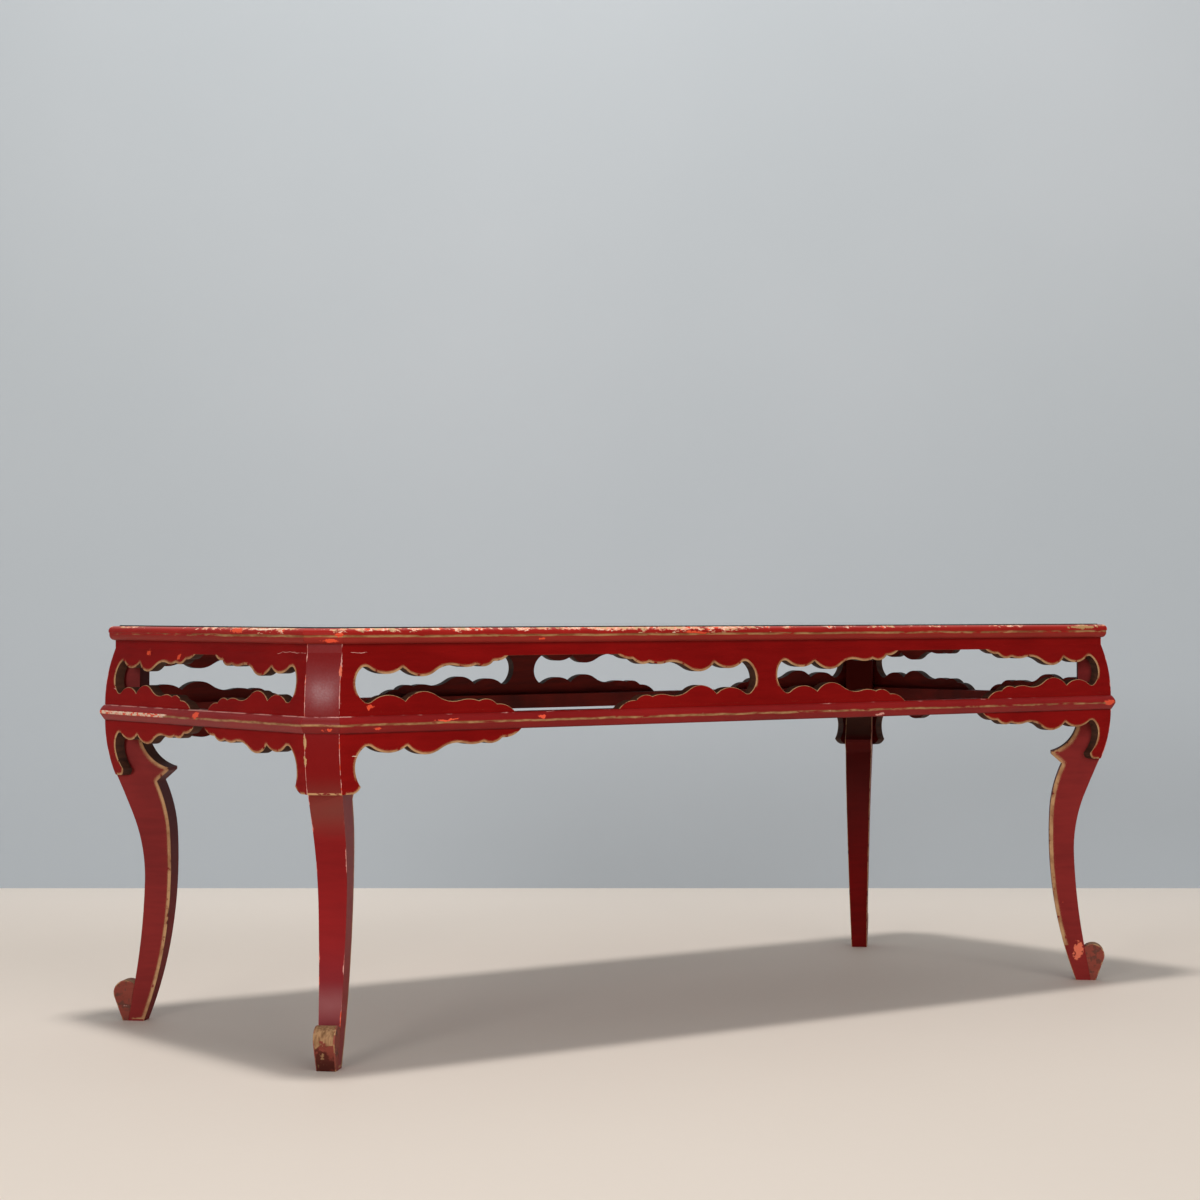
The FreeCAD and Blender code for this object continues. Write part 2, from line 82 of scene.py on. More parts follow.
class Bands:
    """Bands of wear, gold, painted shade and painted light, by height in metres: lower edge, upper edge and
    softness of both.
    """

    UNDER_EDGE = (Levels.EDGE_FOOT - 0.0025, Levels.EDGE_FOOT + 0.001, 0.0012)
    COVE_HAZE = (Levels.EDGE_FOOT, Levels.QUIRK_FOOT, 0.0008)
    QUIRK_LINE = (Levels.QUIRK_FOOT + 0.0002, Levels.BEAD_FOOT + 0.0003, 0.0005)
    RUBBED_SWELL = (0.370, 0.392, 0.014)
    BELT_ARRIS = (Levels.BELT_TOP - 0.001, Levels.BELT_TOP + 0.0002, 0.0003)
    NOSE = (Levels.NOSE_FOOT - 0.001, Levels.NOSE_TOP + 0.002, 0.0008)
    NOSE_LINE = (Levels.NOSE_FOOT - 0.0004, Levels.NOSE_TOP + 0.0002, 0.0006)
    UNDER_BELT = (Levels.BELT_FOOT - 0.0012, Levels.BELT_FOOT + 0.0008, 0.0008)
    TOE_LINE = (Levels.TOE - 0.0004, Levels.TOE + 0.0018, 0.0004)
    KNEE_HAZE = (0.248, Levels.TOE + 0.004, 0.02)
    MISTY_SHIN = (0.050, 0.076, 0.016)


class Steps:
    """Soft steps of wear, polish, painted shade and painted light, by height or by place along the table:
    where each starts and ends, in metres.
    """

    BEAD = (0.4431, 0.4438)
    BEAD_TOP = (0.4446, 0.4494)
    BEAD_HIGHLIGHT = (0.4470, 0.4494)
    POLISH = (0.355, 0.365)
    DARK_BACK = (Levels.BELT_FOOT, Levels.BELT_FOOT + 0.002)
    SCOOP = (0.290, 0.298)
    KNEE_FRONT = (Levels.TOE, Levels.TOE + 0.004)
    DUSKY_BACK = (0.08, 0.26)
    PURPLE_SHIN = (0.055, 0.150)
    SCROLL_CROWN = (0.020, 0.042)
    SCROLL_FOOT = (0.008, 0.030)
    LEFT_EDGE = (-0.59, -0.58)
    LEFT_BELT = (-0.59, -0.585)
    FRONT_EDGE = (-0.236, -0.226)
    LEFT_HALF = (-0.08, 0.06)
    TO_THE_RIGHT = (-0.1, 0.4)


class Plan:
    """Places of the table in plan, in metres: neck lines, the middle of a canted corner and its legs."""

    HALF_LENGTH = 0.5855
    HALF_WIDTH = 0.237
    CORNER_X = 0.57277
    CORNER_Y = 0.22427
    HALF_LEG = 0.018
    HALF_FOOT = 0.0105
    NEAR = 0.25

    @classmethod
    def across(cls, x: Measure, y: Measure) -> Measure:
        """Distance of a place from the middle plane of the nearest leg."""
        return abs((abs(x) - cls.CORNER_X) - (abs(y) - cls.CORNER_Y)) / ROOT_TWO

    @classmethod
    def beyond(cls, x: Measure, y: Measure) -> Measure:
        """Distance of a place out of the nearest canted corner's middle, negative towards the inside."""
        return ((abs(x) - cls.CORNER_X) + (abs(y) - cls.CORNER_Y)) / ROOT_TWO


class Outline(Enum):
    """Stretch of the table's outline, with its name and its outward direction in plan."""

    @property
    def label(self) -> str:
        """Name as the CAD nodes have it."""
        return self.value[0]

    @property
    def outward(self) -> Vector:
        """Level direction out of the table."""
        return Vector((*self.value[1], 0.0)).normalized()


class Side(Outline):
    """Sides of the table."""

    FRONT = ("front", (0.0, -1.0))
    RIGHT = ("right", (1.0, 0.0))
    BACK = ("back", (0.0, 1.0))
    LEFT = ("left", (-1.0, 0.0))


class Corner(Outline):
    """Canted corners of the table."""

    FRONT_RIGHT = ("front_right", (1.0, -1.0))
    BACK_RIGHT = ("back_right", (1.0, 1.0))
    BACK_LEFT = ("back_left", (-1.0, 1.0))
    FRONT_LEFT = ("front_left", (-1.0, -1.0))

    @property
    def beside(self) -> Vector:
        """Level direction across the leg."""
        return Vector((-self.outward.y, self.outward.x, 0.0))


class Slot(Enum):
    """Material slots of the record."""

    MOULDING = "moulding_lacquer"
    RED = "red_lacquer"
    LEG = "leg_lacquer"
    FOOT = "foot_lacquer"
    TOP = "top_lacquer"
    WOOD = "inside_wood"
    GLASS = "clear_glass"


class Face(IntEnum):
    """Faces of a board, leg or scroll, in the order of its materials."""

    FRONT = 0
    GILT = 1
    SIDE = 2
    BACK = 3


class Shade(NamedTuple):
    """A paint colour, in screen values from 0 to 255."""

    red: int
    green: int
    blue: int

    @property
    def linear(self) -> tuple[float, float, float, float]:
        """The colour as a shader takes it."""
        return (*(self._channel(value / 255) for value in self), 1.0)

    @staticmethod
    def _channel(value: float) -> float:
        """One screen value as light."""
        return value / 12.92 if value <= 0.04045 else ((value + 0.055) / 1.055) ** 2.4


class Value:
    """Number socket of a finish, whose operators add Math nodes."""

    def __init__(self, recipe: "Recipe", socket: Socket) -> None:
        """Wraps a socket of a recipe's tree."""
        self.recipe = recipe
        self.socket = socket

    def math(self, operation: str, first: "Number", second: "Number" = 0.0) -> "Value":
        """Adds one Math node.

        Args:
            operation: Blender's name of the operation.
            first: First number or socket.
            second: Second number or socket.

        Returns:
            The node's result.
        """
        node = self.recipe.node("Math", {0: first, 1: second}, operation=operation)
        return Value(self.recipe, node.outputs[0])

    def __add__(self, other: "Number") -> "Value":
        """Sum."""
        return self.math("ADD", self, other)

    def __radd__(self, other: "Number") -> "Value":
        """Sum with the number first."""
        return self.math("ADD", other, self)

    def __sub__(self, other: "Number") -> "Value":
        """Difference."""
        return self.math("SUBTRACT", self, other)

    def __rsub__(self, other: "Number") -> "Value":
        """Difference with the number first."""
        return self.math("SUBTRACT", other, self)

    def __mul__(self, other: "Number") -> "Value":
        """Product."""
        return self.math("MULTIPLY", self, other)

    def __rmul__(self, other: "Number") -> "Value":
        """Product with the number first."""
        return self.math("MULTIPLY", other, self)

    def __truediv__(self, other: "Number") -> "Value":
        """Quotient."""
        return self.math("DIVIDE", self, other)

    def __abs__(self) -> "Value":
        """Size without its sign."""
        return self.math("ABSOLUTE", self)

    def sign(self) -> "Value":
        """-1 below zero and 1 above it."""
        return self.math("SIGN", self)

    def least(self, other: "Number") -> "Value":
        """Smaller of two."""
        return self.math("MINIMUM", self, other)

    def most(self, other: "Number") -> "Value":
        """Larger of two."""
        return self.math("MAXIMUM", self, other)

    def rise(self, low: "Number", high: "Number") -> "Value":
        """Soft step, 0 below low and 1 above high."""
        node = self.recipe.node("MapRange", {"Value": self, "From Min": low, "From Max": high},
                                interpolation_type="SMOOTHSTEP")
        return Value(self.recipe, node.outputs["Result"])

    def fall(self, low: "Number", high: "Number") -> "Value":
        """Soft step down, 1 below low and 0 above high."""
        return 1.0 - self.rise(low, high)

    def between(self, low: float, high: float, soft: float) -> "Value":
        """Band with soft edges.

        Args:
            low: Lower edge.
            high: Upper edge.
            soft: How far each edge softens to both sides.

        Returns:
            1 inside the band and 0 outside it.
        """
        return self.rise(low - soft, low + soft) * self.fall(high - soft, high + soft)


Number = Union[Value, float, int]


class Recipe:
    """Node tree of one finish, written as expressions."""

    def __init__(self, name: str) -> None:
        """Makes a material whose tree holds only the object coordinates.

        Args:
            name: Name of the material.
        """
        self.material = bpy.data.materials.new(name)
        self.material.use_nodes = True
        self.tree = self.material.node_tree
        self.tree.nodes.clear()
        self.place = self.node("TexCoord").outputs["Object"]

    def node(self, kind: str, sockets: Optional[dict[Union[str, int], Any]] = None,
             **settings: Any) -> bpy.types.Node:
        """Adds one node.

        Args:
            kind: Blender's type name of the node, after the ShaderNode that it starts with.
            sockets: Values or links of its inputs, by name or number.
            settings: Properties of the node, set first.

        Returns:
            The new node.
        """
        made = self.tree.nodes.new("ShaderNode" + kind)
        for key, setting in settings.items():
            setattr(made, key, setting)
        for key, given in (sockets or {}).items():
            if isinstance(given, Value):
                given = given.socket
            if isinstance(given, Socket):
                self.tree.links.new(given, made.inputs[key])
            else:
                made.inputs[key].default_value = given
        return made

    def vector(self, operation: str, *inputs: Any) -> bpy.types.NodeOutputs:
        """Adds one Vector Math node and gives its outputs."""
        return self.node("VectorMath", dict(enumerate(inputs)), operation=operation).outputs

    def parts(self, vector: Socket) -> tuple[Value, Value, Value]:
        """X, Y and Z of a vector."""
        x, y, z = self.node("SeparateXYZ", {0: vector}).outputs
        return Value(self, x), Value(self, y), Value(self, z)

    def axes(self) -> tuple[Value, Value, Value]:
        """X, Y and Z of the surface point."""
        return self.parts(self.place)

    def length(self, vector: Socket) -> Value:
        """Length of a vector."""
        return Value(self, self.vector("LENGTH", vector)["Value"])

    def noise(self, scale: float, detail: float = 3.0, rough: float = 0.55, warp: float = 0.0,
              up: float = 0.0) -> Value:
        """Cloudy pattern.

        Args:
            scale: Features to the metre.
            detail: Finer layers.
            rough: Strength of the finer layers.
            warp: Distortion.
            up: Features to the metre in height, or 0 for as many as in plan.

        Returns:
            A number near 0.5.
        """
        place = self.place
        if up:
            place = self.vector("MULTIPLY", place, (scale, scale, up))[0]
            scale = 1.0
        made = self.node("TexNoise", {"Vector": place, "Scale": scale, "Detail": detail,
                                      "Roughness": rough, "Distortion": warp})
        return Value(self, made.outputs["Fac"])

    def lean(self, reach: float) -> tuple[Value, tuple[Value, Value, Value]]:
        """Nearness to an arris, found from how a softened surface would lean there.

        Args:
            reach: Distance in metres within which an arris is felt.

        Returns:
            How far the surface would lean, 0 away from arrises, and the parts of that lean along
            X, Y and Z, which point the way that the face beyond the arris looks.
        """
        soft = self.node("Bevel", {"Radius": reach}, samples=8).outputs[0]
        plain = self.node("NewGeometry").outputs["Normal"]
        change = self.vector("SUBTRACT", soft, plain)[0]
        return self.length(change), self.parts(self.vector("NORMALIZE", change)[0])

    def blend(self, mask: Number, first: Any, second: Any) -> Socket:
        """Mix of two colours.

        Args:
            mask: 0 for the first colour and 1 for the second.
            first: Shade or colour socket.
            second: Shade or colour socket.

        Returns:
            The mixed colour.
        """
        first, second = (c.linear if isinstance(c, Shade) else c for c in (first, second))
        return self.node("Mix", {0: mask, 6: first, 7: second}, data_type="RGBA").outputs[2]

    def mix(self, factor: Socket, first: bpy.types.Node, second: bpy.types.Node) -> Material:
        """Shows the first shader where a factor is 0 and the second where it is 1."""
        return self.show(self.node("MixShader", {0: factor, 1: first.outputs[0], 2: second.outputs[0]}))

    def show(self, shader: bpy.types.Node) -> Material:
        """Sends a shader to the surface output and gives the material."""
        self.node("OutputMaterial", {"Surface": shader.outputs[0]})
        return self.material


class Paint(Recipe):
    """Layers of paint on one surface: colour, gloss, metal and height build up together."""

    COAT_ROUGH = 0.32

    colour: Any
    rough: Number
    height: Number
    metal: Number = 0.0
    coat: Number = 0.0

    def ground(self, colour: Any, rough: Number, height: Number) -> None:
        """Lays the ground coat.

        Args:
            colour: Shade or colour socket.
            rough: Its roughness.
            height: Its height.
        """
        self.colour = colour.linear if isinstance(colour, Shade) else colour
        self.rough = rough
        self.height = height

    def over(self, mask: Value, colour: Any, rough: float, lift: float = 0.0, metal: float = 0.0) -> None:
        """Lays one coat over what is there.

        Args:
            mask: Where the coat lies, from 0 to 1.
            colour: Shade or colour socket of the coat.
            rough: Its roughness.
            lift: How much it adds to the height, negative where it is a loss.
            metal: How metallic it is.
        """
        self.colour = self.blend(mask, self.colour, colour)
        self.rough = self.rough * (1.0 - mask) + mask * rough
        if lift:
            self.height = self.height + mask * lift
        if metal or isinstance(self.metal, Value):
            self.metal = self.metal * (1.0 - mask) + mask * metal

    def done(self, depth: float, gloss: float = 0.5) -> Material:
        """Ends the paint in a shader.

        Args:
            depth: Height in metres that a full lift stands for.
            gloss: Level of the plain reflection.

        Returns:
            The finished material.
        """
        bump = self.node("Bump", {"Strength": 1.0, "Distance": depth, "Height": self.height})
        return self.show(self.node("BsdfPrincipled", {
            "Base Color": self.colour, "Roughness": self.rough, "Metallic": self.metal,
            "Normal": bump.outputs["Normal"], "Coat Weight": self.coat,
            "Coat Roughness": self.COAT_ROUGH, "Specular IOR Level": gloss}))


class Shades:
    """Colours of the table, and of the light and shade painted on it, as its finishes are mixed from them.
    """

    DEEP_RED = Shade(124, 13, 12)
    RED = Shade(150, 20, 18)
    DEEP_CORNER_RED = Shade(110, 20, 19)
    CORNER_RED = Shade(134, 30, 28)
    DEEP_EDGE_RED = Shade(146, 26, 21)
    EDGE_RED = Shade(174, 38, 31)
    DEEP_LEG_RED = Shade(130, 24, 25)
    LEG_RED = Shade(154, 29, 30)
    DEEP_SIDE_RED = Shade(121, 29, 28)
    SIDE_RED = Shade(148, 40, 37)
    DEEP_BACK_RED = Shade(106, 17, 16)
    BACK_RED = Shade(138, 21, 20)
    FOOT_BROWN = Shade(122, 56, 46)
    FOOT_RED = Shade(160, 80, 66)
    REFLECTED_HAZE_RED = Shade(124, 64, 55)
    REFLECTED_PURPLE = Shade(120, 38, 45)
    REFLECTED_MIST = Shade(164, 102, 102)
    GROUND = Shade(238, 86, 56)
    GESSO = Shade(240, 208, 182)
    PALE_WEAR_AND_HIGHLIGHT = Shade(230, 166, 154)
    PEACH = Shade(240, 152, 122)
    TAN = Shade(208, 172, 130)
    ROSE = Shade(241, 122, 92)
    GOLD = Shade(204, 158, 112)
    OLD_GOLD = Shade(168, 118, 80)
    OLIVE = Shade(188, 144, 96)
    BRONZE = Shade(146, 92, 56)
    CUT = Shade(84, 49, 34)
    CUT_DARK = Shade(46, 25, 19)
    DULL_BROWN = Shade(86, 62, 53)
    PAINTED_BACK_SHADE = Shade(88, 32, 29)
    SHADE_AND_GRIME = Shade(46, 18, 16)
    INSIDE = Shade(122, 25, 13)
    INSIDE_DARK = Shade(78, 17, 10)
    BARE_WOOD = Shade(186, 142, 102)
    BARE_WOOD_DARK = Shade(132, 94, 64)
    WOOD = Shade(150, 104, 66)
    WOOD_DARK = Shade(96, 62, 40)
    GLASS = Shade(246, 250, 248)
    GLASS_EDGE = Shade(34, 52, 45)
    GLASS_EDGE_DARK = Shade(16, 26, 22)
    STEEL = Shade(150, 146, 140)
    RUST = Shade(92, 62, 44)


class Scar(NamedTuple):
    """A larger chip with a place of its own: its middle, half length, half height and what shows in it."""

    place: Triple
    half_length: float
    half_height: float
    shade: Shade = Shades.GROUND


class Scars:
    """Larger chips of the table, by the kind of piece that bears them."""

    FRIEZE = (
        Scar((-0.532, -0.2456, 0.3695), 0.004, 0.003),
        Scar((-0.586, 0.129, 0.421), 0.005, 0.0036),
        Scar((-0.587, 0.057, 0.417), 0.004, 0.003),
        Scar((-0.586, -0.178, 0.4245), 0.026, 0.0003, Shades.PALE_WEAR_AND_HIGHLIGHT),
        Scar((-0.541, -0.2375, 0.4252), 0.013, 0.0003, Shades.PALE_WEAR_AND_HIGHLIGHT),
        Scar((-0.593, 0.190, 0.379), 0.014, 0.0006, Shades.PALE_WEAR_AND_HIGHLIGHT),
        Scar((-0.549, -0.2415, 0.3205), 0.006, 0.0005, Shades.GESSO),
    )
    EDGE = (
        Scar((-0.573, -0.234, 0.4372), 0.0095, 0.002),
        Scar((-0.567, -0.243, 0.4440), 0.0055, 0.0032),
        Scar((-0.315, -0.244, 0.4372), 0.0045, 0.0018),
        Scar((-0.102, -0.251, 0.4436), 0.021, 0.0013),
        Scar((-0.599, -0.079, 0.4470), 0.016, 0.003),
        Scar((-0.599, -0.142, 0.4490), 0.030, 0.001, Shades.GESSO),
        Scar((-0.599, 0.123, 0.4488), 0.005, 0.0018, Shades.GESSO),
        Scar((0.332, -0.251, 0.4440), 0.0045, 0.0024),
        Scar((0.520, -0.251, 0.4470), 0.028, 0.0022, Shades.OLIVE),
        Scar((0.556, -0.2505, 0.4465), 0.006, 0.0034),
        Scar((0.572, -0.2375, 0.4455), 0.010, 0.0042),
    )
    BELT = (
        Scar((-0.5985, -0.001, 0.3548), 0.0065, 0.004),
        Scar((-0.575, -0.237, 0.3475), 0.008, 0.0014),
        Scar((-0.525, -0.247, 0.3475), 0.007, 0.0014),
        Scar((-0.443, -0.249, 0.3550), 0.015, 0.0012),
        Scar((-0.320, -0.249, 0.3556), 0.006, 0.0018),
        Scar((0.171, -0.246, 0.3462), 0.008, 0.0016, Shades.PALE_WEAR_AND_HIGHLIGHT),
        Scar((0.5605, -0.2495, 0.3525), 0.009, 0.0034),
    )
    CORNER = (
        Scar((-0.5642, -0.2411, 0.406), 0.0015, 0.016, Shades.ROSE),
        Scar((-0.5942, -0.2202, 0.336), 0.0019, 0.0085, Shades.GOLD),
        Scar((-0.5926, -0.2186, 0.3155), 0.0019, 0.007, Shades.GOLD),
    )
    SHIN = (Scar((0.545, -0.213, 0.037), 0.0062, 0.0125, Shades.ROSE),)


class Layer(Enum):
    """Coats and wear over the red ground, named for where they lie."""

    SHEEN = "polish of the canted faces"
    # The haze on the legs is a painted haze of reflected light.
    HAZE = "haze on the legs"
    # The upper back of the legs is darkened with painted shade.
    BACK = "dull upper back of the legs"
    BEAD = "bead of the edge"
    NOSE = "nose of the belt"
    ARRIS = "arrises of the canted corners"
    KNEE = "gold line across the knee"
    FOOT = "worn front of the scroll"
    SCUFF = "scuffed sides of the scroll"
    BEHIND = "stain behind the friezes"
    OPENINGS = "gold lines round the openings"
    BACK_LINE = "gold lines along the backs of the legs"


@dataclass(frozen=True)
class Lacquer:
    """Red lacquer of one kind of piece, with the wear and gold that belong to it.

    Its gold lines are about as wide as line, start at the height line_foot, and feel an arris from
    feel times that width away. More chips is more loss, and depth is the height of a full lift.
    """

    name: str
    layers: tuple[Layer, ...] = ()
    scars: tuple[Scar, ...] = ()
    deep: Shade = Shades.DEEP_RED
    bright: Shade = Shades.RED
    rough: float = 0.40
    gloss: float = 0.08
    chips: float = 0.0
    line: float = 0.0014
    line_foot: float = 0.002
    feel: float = 3.0
    depth: float = 0.00035

    def make(self) -> Material:
        """Mixes the finish."""
        return RedPaint(self).make()


class RedPaint(Paint):
    """Coats of red lacquer, with their wear and gold, as they are laid on one kind of piece."""

    def __init__(self, kind: Lacquer) -> None:
        """Starts the paint of a kind of piece."""
        super().__init__(kind.name)
        self.kind = kind

    def make(self) -> Material:
        """Lays all coats and ends the paint in a shader.

        Returns:
            The finished material.
        """
        coats = {
            Layer.SHEEN: self._sheen, Layer.HAZE: self._haze, Layer.BACK: self._back,
            Layer.BEAD: self._bead, Layer.NOSE: self._nose, Layer.ARRIS: self._arrises,
            Layer.KNEE: self._knee_line, Layer.FOOT: self._foot, Layer.SCUFF: self._scuff,
            Layer.BEHIND: self._behind, Layer.OPENINGS: self._openings, Layer.BACK_LINE: self._back_line,
        }
        own = [coats[layer] for layer in self.kind.layers]
        for lay in (self._ground, self._paint_shade_under_mouldings, *own, self._chips, self._scars):
            lay()
        return self.done(self.kind.depth, self.kind.gloss)

    def _ground(self) -> None:
        """Lays the red coats with their brush marks."""
        cloud = self.noise(7.0)
        streak = self.noise(22.0, 4.0, 0.6, up=160.0)
        fine = self.noise(750.0, 2.0, 0.6)
        tone = cloud * 0.8 + streak * 0.45 - 0.12
        colour = self.blend(tone.rise(0.2, 0.8), self.kind.deep, self.kind.bright)
        rough = self.kind.rough - 0.08 + cloud * 0.1 + fine * 0.08
        self.ground(colour, rough, streak * 0.35 + fine * 0.3)

    def _paint_shade_under_mouldings(self) -> None:
        """Paints shade into the corners under the mouldings."""
        z = self.axes()[2]
        cloud = self.noise(40.0)
        # Painted shade: a dark band just under the edge moulding and just under the belt.
        under_edge = z.between(*Bands.UNDER_EDGE)
        under_belt = z.between(*Bands.UNDER_BELT)
        self.over((under_edge * 0.5 + under_belt * 0.9).least(0.9) * cloud, Shades.SHADE_AND_GRIME, 0.6)

    def _haze(self) -> None:
        """Paints a haze of reflected light on the leg: dull brown-red under its knee, purple towards the
        foot and a pale pink band just above it.
        """
        z = self.axes()[2]
        cloud = self.noise(16.0)
        dull = 0.35 + cloud * 0.8
        # Painted reflection of the pale floor and wall on the leg's lower faces.
        self.over(z.between(*Bands.KNEE_HAZE) * dull, Shades.REFLECTED_HAZE_RED, 0.55)
        self.over(z.fall(*Steps.PURPLE_SHIN) * dull, Shades.REFLECTED_PURPLE, 0.5)
        self.over(z.between(*Bands.MISTY_SHIN) * cloud, Shades.REFLECTED_MIST, 0.5)

    def _sheen(self) -> None:
        """Polishes the swelling over the belt, where hands rubbed it."""
        x, y, z = self.axes()
        cloud = self.noise(34.0)
        fine = self.noise(520.0, 2.0)
        self.over(z.rise(*Steps.KNEE_FRONT) * 0.75, Shades.DEEP_RED, 0.42)
        spot = z.between(*Bands.RUBBED_SWELL) * Plan.across(x, y).fall(0.004, 0.017)
        polish = spot * 0.8 + z.rise(*Steps.POLISH) * 0.34
        self.coat = polish * (cloud + fine * 0.9 - 0.2).most(0.0)

    def _back(self) -> None:
        """Paints shade over the upper back of the leg, and leaves the scoop behind the knee in dull brown
        and what is over it in dark stain.
        """
        z = self.axes()[2]
        cloud = self.noise(30.0)
        # Painted shade: the back darkens upwards, towards the apron over it.
        self.over(z.rise(*Steps.DUSKY_BACK) * 0.75, Shades.PAINTED_BACK_SHADE, 0.5)
        self.over(z.rise(*Steps.SCOOP) * (0.6 + cloud * 0.4), Shades.DULL_BROWN, 0.7)
        self.over(z.rise(*Steps.DARK_BACK), Shades.INSIDE_DARK, 0.6)

    def _bead(self) -> None:
        """Paints a haze of light on the cove and a highlight along the bead's crown, gilds the quirk under
        the bead and wears the bead's upper edge, most at the front's left half.
        """
        x, y, z = self.axes()
        # Painted light: a pale haze on the cove, which faces down.
        self.over(z.between(*Bands.COVE_HAZE) * 0.3, Shades.REFLECTED_HAZE_RED, 0.5)
        left = x.fall(*Steps.LEFT_EDGE)
        wobble = self.noise(30.0, up=60.0)
        patch = self.noise(40.0, 3.0, 0.6, up=120.0)
        worn = self.noise(60.0, 3.0, 0.6, up=300.0)
        line = (z + (wobble - 0.5) * 0.0022).between(*Bands.QUIRK_LINE)
        faded = left * y.rise(-0.10, 0.10) * 0.22 + x.rise(*Steps.TO_THE_RIGHT) * 0.07
        gold = self.blend(patch.rise(0.35, 0.65), Shades.BRONZE, Shades.OLIVE)
        self.over(line * (worn - faded).rise(0.30, 0.44), gold, 0.45, 0.15, 0.2)
        fringe = self.noise(85.0, 5.0, 0.68, up=230.0)
        spread = self.noise(9.0, 2.0)
        most = y.fall(*Steps.FRONT_EDGE) * x.fall(*Steps.LEFT_HALF)
        much = left * y.between(-0.21, 0.02, 0.05)
        loss = fringe + (spread - 0.5) * 0.50 + z.rise(*Steps.BEAD_TOP) * 0.19 + most * 0.14 + much * 0.09
        tint = self.noise(105.0, 4.0, 0.6, up=240.0)
        under = self.blend(tint.rise(0.42, 0.47), Shades.TAN, Shades.PEACH)
        pale = self.blend(tint.rise(0.50, 0.54), under, Shades.GESSO)
        bare = self.blend(tint.rise(0.58, 0.60), pale, Shades.GROUND)
        # Painted highlight along the crown of the bead.
        self.over(z.rise(*Steps.BEAD_HIGHLIGHT) * 0.14, Shades.PALE_WEAR_AND_HIGHLIGHT, 0.5)
        self.over(loss.rise(0.755, 0.770) * z.rise(*Steps.BEAD), bare, 0.55, -0.5)

    def _nose(self) -> None:
        """Gilds the nose of the belt, broken by wear, lays a pale line along its top arris that is part
        wear and part painted highlight, and bares the far end of the left side.
        """
        x, y, z = self.axes()
        wobble = self.noise(24.0, up=60.0)
        worn = self.noise(40.0, 4.0, 0.62, up=200.0)
        tint = self.noise(90.0, up=200.0)
        line = (z + (wobble - 0.5) * 0.0036).between(*Bands.NOSE_LINE)
        faded = worn - x.rise(*Steps.TO_THE_RIGHT) * 0.07
        gold = self.blend(tint.rise(0.3, 0.7), Shades.BRONZE, Shades.OLIVE)
        self.over(line * faded.rise(0.34, 0.48), gold, 0.45, 0.15, 0.2)
        rubbed = worn + x.fall(-0.58, -0.5) * 0.16
        # Pale line along the belt's top arris: partly wear, partly painted highlight.
        self.over(z.between(*Bands.BELT_ARRIS) * rubbed.rise(0.58, 0.68) * 0.8, Shades.PALE_WEAR_AND_HIGHLIGHT, 0.5)
        end = x.fall(*Steps.LEFT_BELT) * y.rise(0.03, 0.10)
        fleck = self.noise(75.0, 5.0, 0.68, up=230.0)
        loss = (fleck + end * 0.34) * z.between(*Bands.NOSE)
        speck = self.noise(120.0, 4.0, 0.65, up=330.0)
        bare = self.blend(speck.rise(0.47, 0.51), Shades.GROUND, Shades.GESSO)
        self.over(loss.rise(0.69, 0.705), bare, 0.58, -0.4)

    def _arrises(self) -> None:
        """Rubs the arrises of the canted corners down to pale broken lines, most at the front left."""
        x, y, z = self.axes()
        half = Plan.HALF_FOOT + (Plan.HALF_LEG - Plan.HALF_FOOT) * (z / Levels.TOE).least(1.0)
        rub = self.noise(140.0, 4.0, 0.65, up=46.0)
        tint = self.noise(110.0)
        near = 1.0 - (abs(x + Plan.CORNER_X) + abs(y + Plan.CORNER_Y)) / Plan.NEAR
        width = 0.0003 + rub.rise(0.5, 0.75) * 0.0014
        line = (abs(Plan.across(x, y) - half) / width).fall(0.6, 1.0)
        outer = Plan.beyond(x, y).rise(-0.034, -0.030).most(z.rise(Levels.TOE - 0.002, Levels.TOE))
        colour = self.blend(tint.rise(0.46, 0.6), Shades.PALE_WEAR_AND_HIGHLIGHT, Shades.GROUND)
        self.over(line * outer * (rub + near.most(0.0) * 0.1).rise(0.50, 0.54), colour, 0.55, -0.2)

    def _knee_line(self) -> None:
        """Draws the gold line across the toe of the knee."""
        x, y, z = self.axes()
        worn = self.noise(170.0)
        line = z.between(*Bands.TOE_LINE) * Plan.beyond(x, y).rise(-0.003, -0.002)
        self.over(line * worn.rise(0.36, 0.46), Shades.GOLD, 0.45, 0.1, 0.2)

    def _foot(self) -> None:
        """Wears the scroll to bare wood on its crown, and darkens it in patches towards the floor."""
        z = self.axes()[2]
        wear = self.noise(58.0, 5.0, 0.62)
        grain = self.noise(420.0, up=60.0)
        wood = self.blend(grain.rise(0.3, 0.7), Shades.BARE_WOOD_DARK, Shades.BARE_WOOD)
        self.over((wear + z.fall(*Steps.SCROLL_FOOT) * 0.20).rise(0.52, 0.62) * 0.65, Shades.SHADE_AND_GRIME, 0.6)
        self.over((wear + z.rise(*Steps.SCROLL_CROWN) * 0.16).rise(0.58, 0.62), wood, 0.62, -0.4)

    def _scuff(self) -> None:
        """Scuffs the sides of the scroll down to brown and a few pale specks."""
        wear = self.noise(95.0, 5.0, 0.66)
        self.over(wear.rise(0.52, 0.60) * 0.7, Shades.DULL_BROWN, 0.6, -0.3)
        self.over(wear.rise(0.66, 0.69), Shades.PALE_WEAR_AND_HIGHLIGHT, 0.6, -0.3)

    def _behind(self) -> None:
        """Leaves what lies behind the friezes in dark stain."""
        x, y, _ = self.axes()
        out = (abs(x) - Plan.HALF_LENGTH).most(abs(y) - Plan.HALF_WIDTH).most(Plan.beyond(x, y))
        cloud = self.noise(14.0)
        stain = self.blend(cloud.rise(0.3, 0.7), Shades.INSIDE_DARK, Shades.INSIDE)
        self.over(out.fall(-0.0045, -0.0035), stain, 0.6)

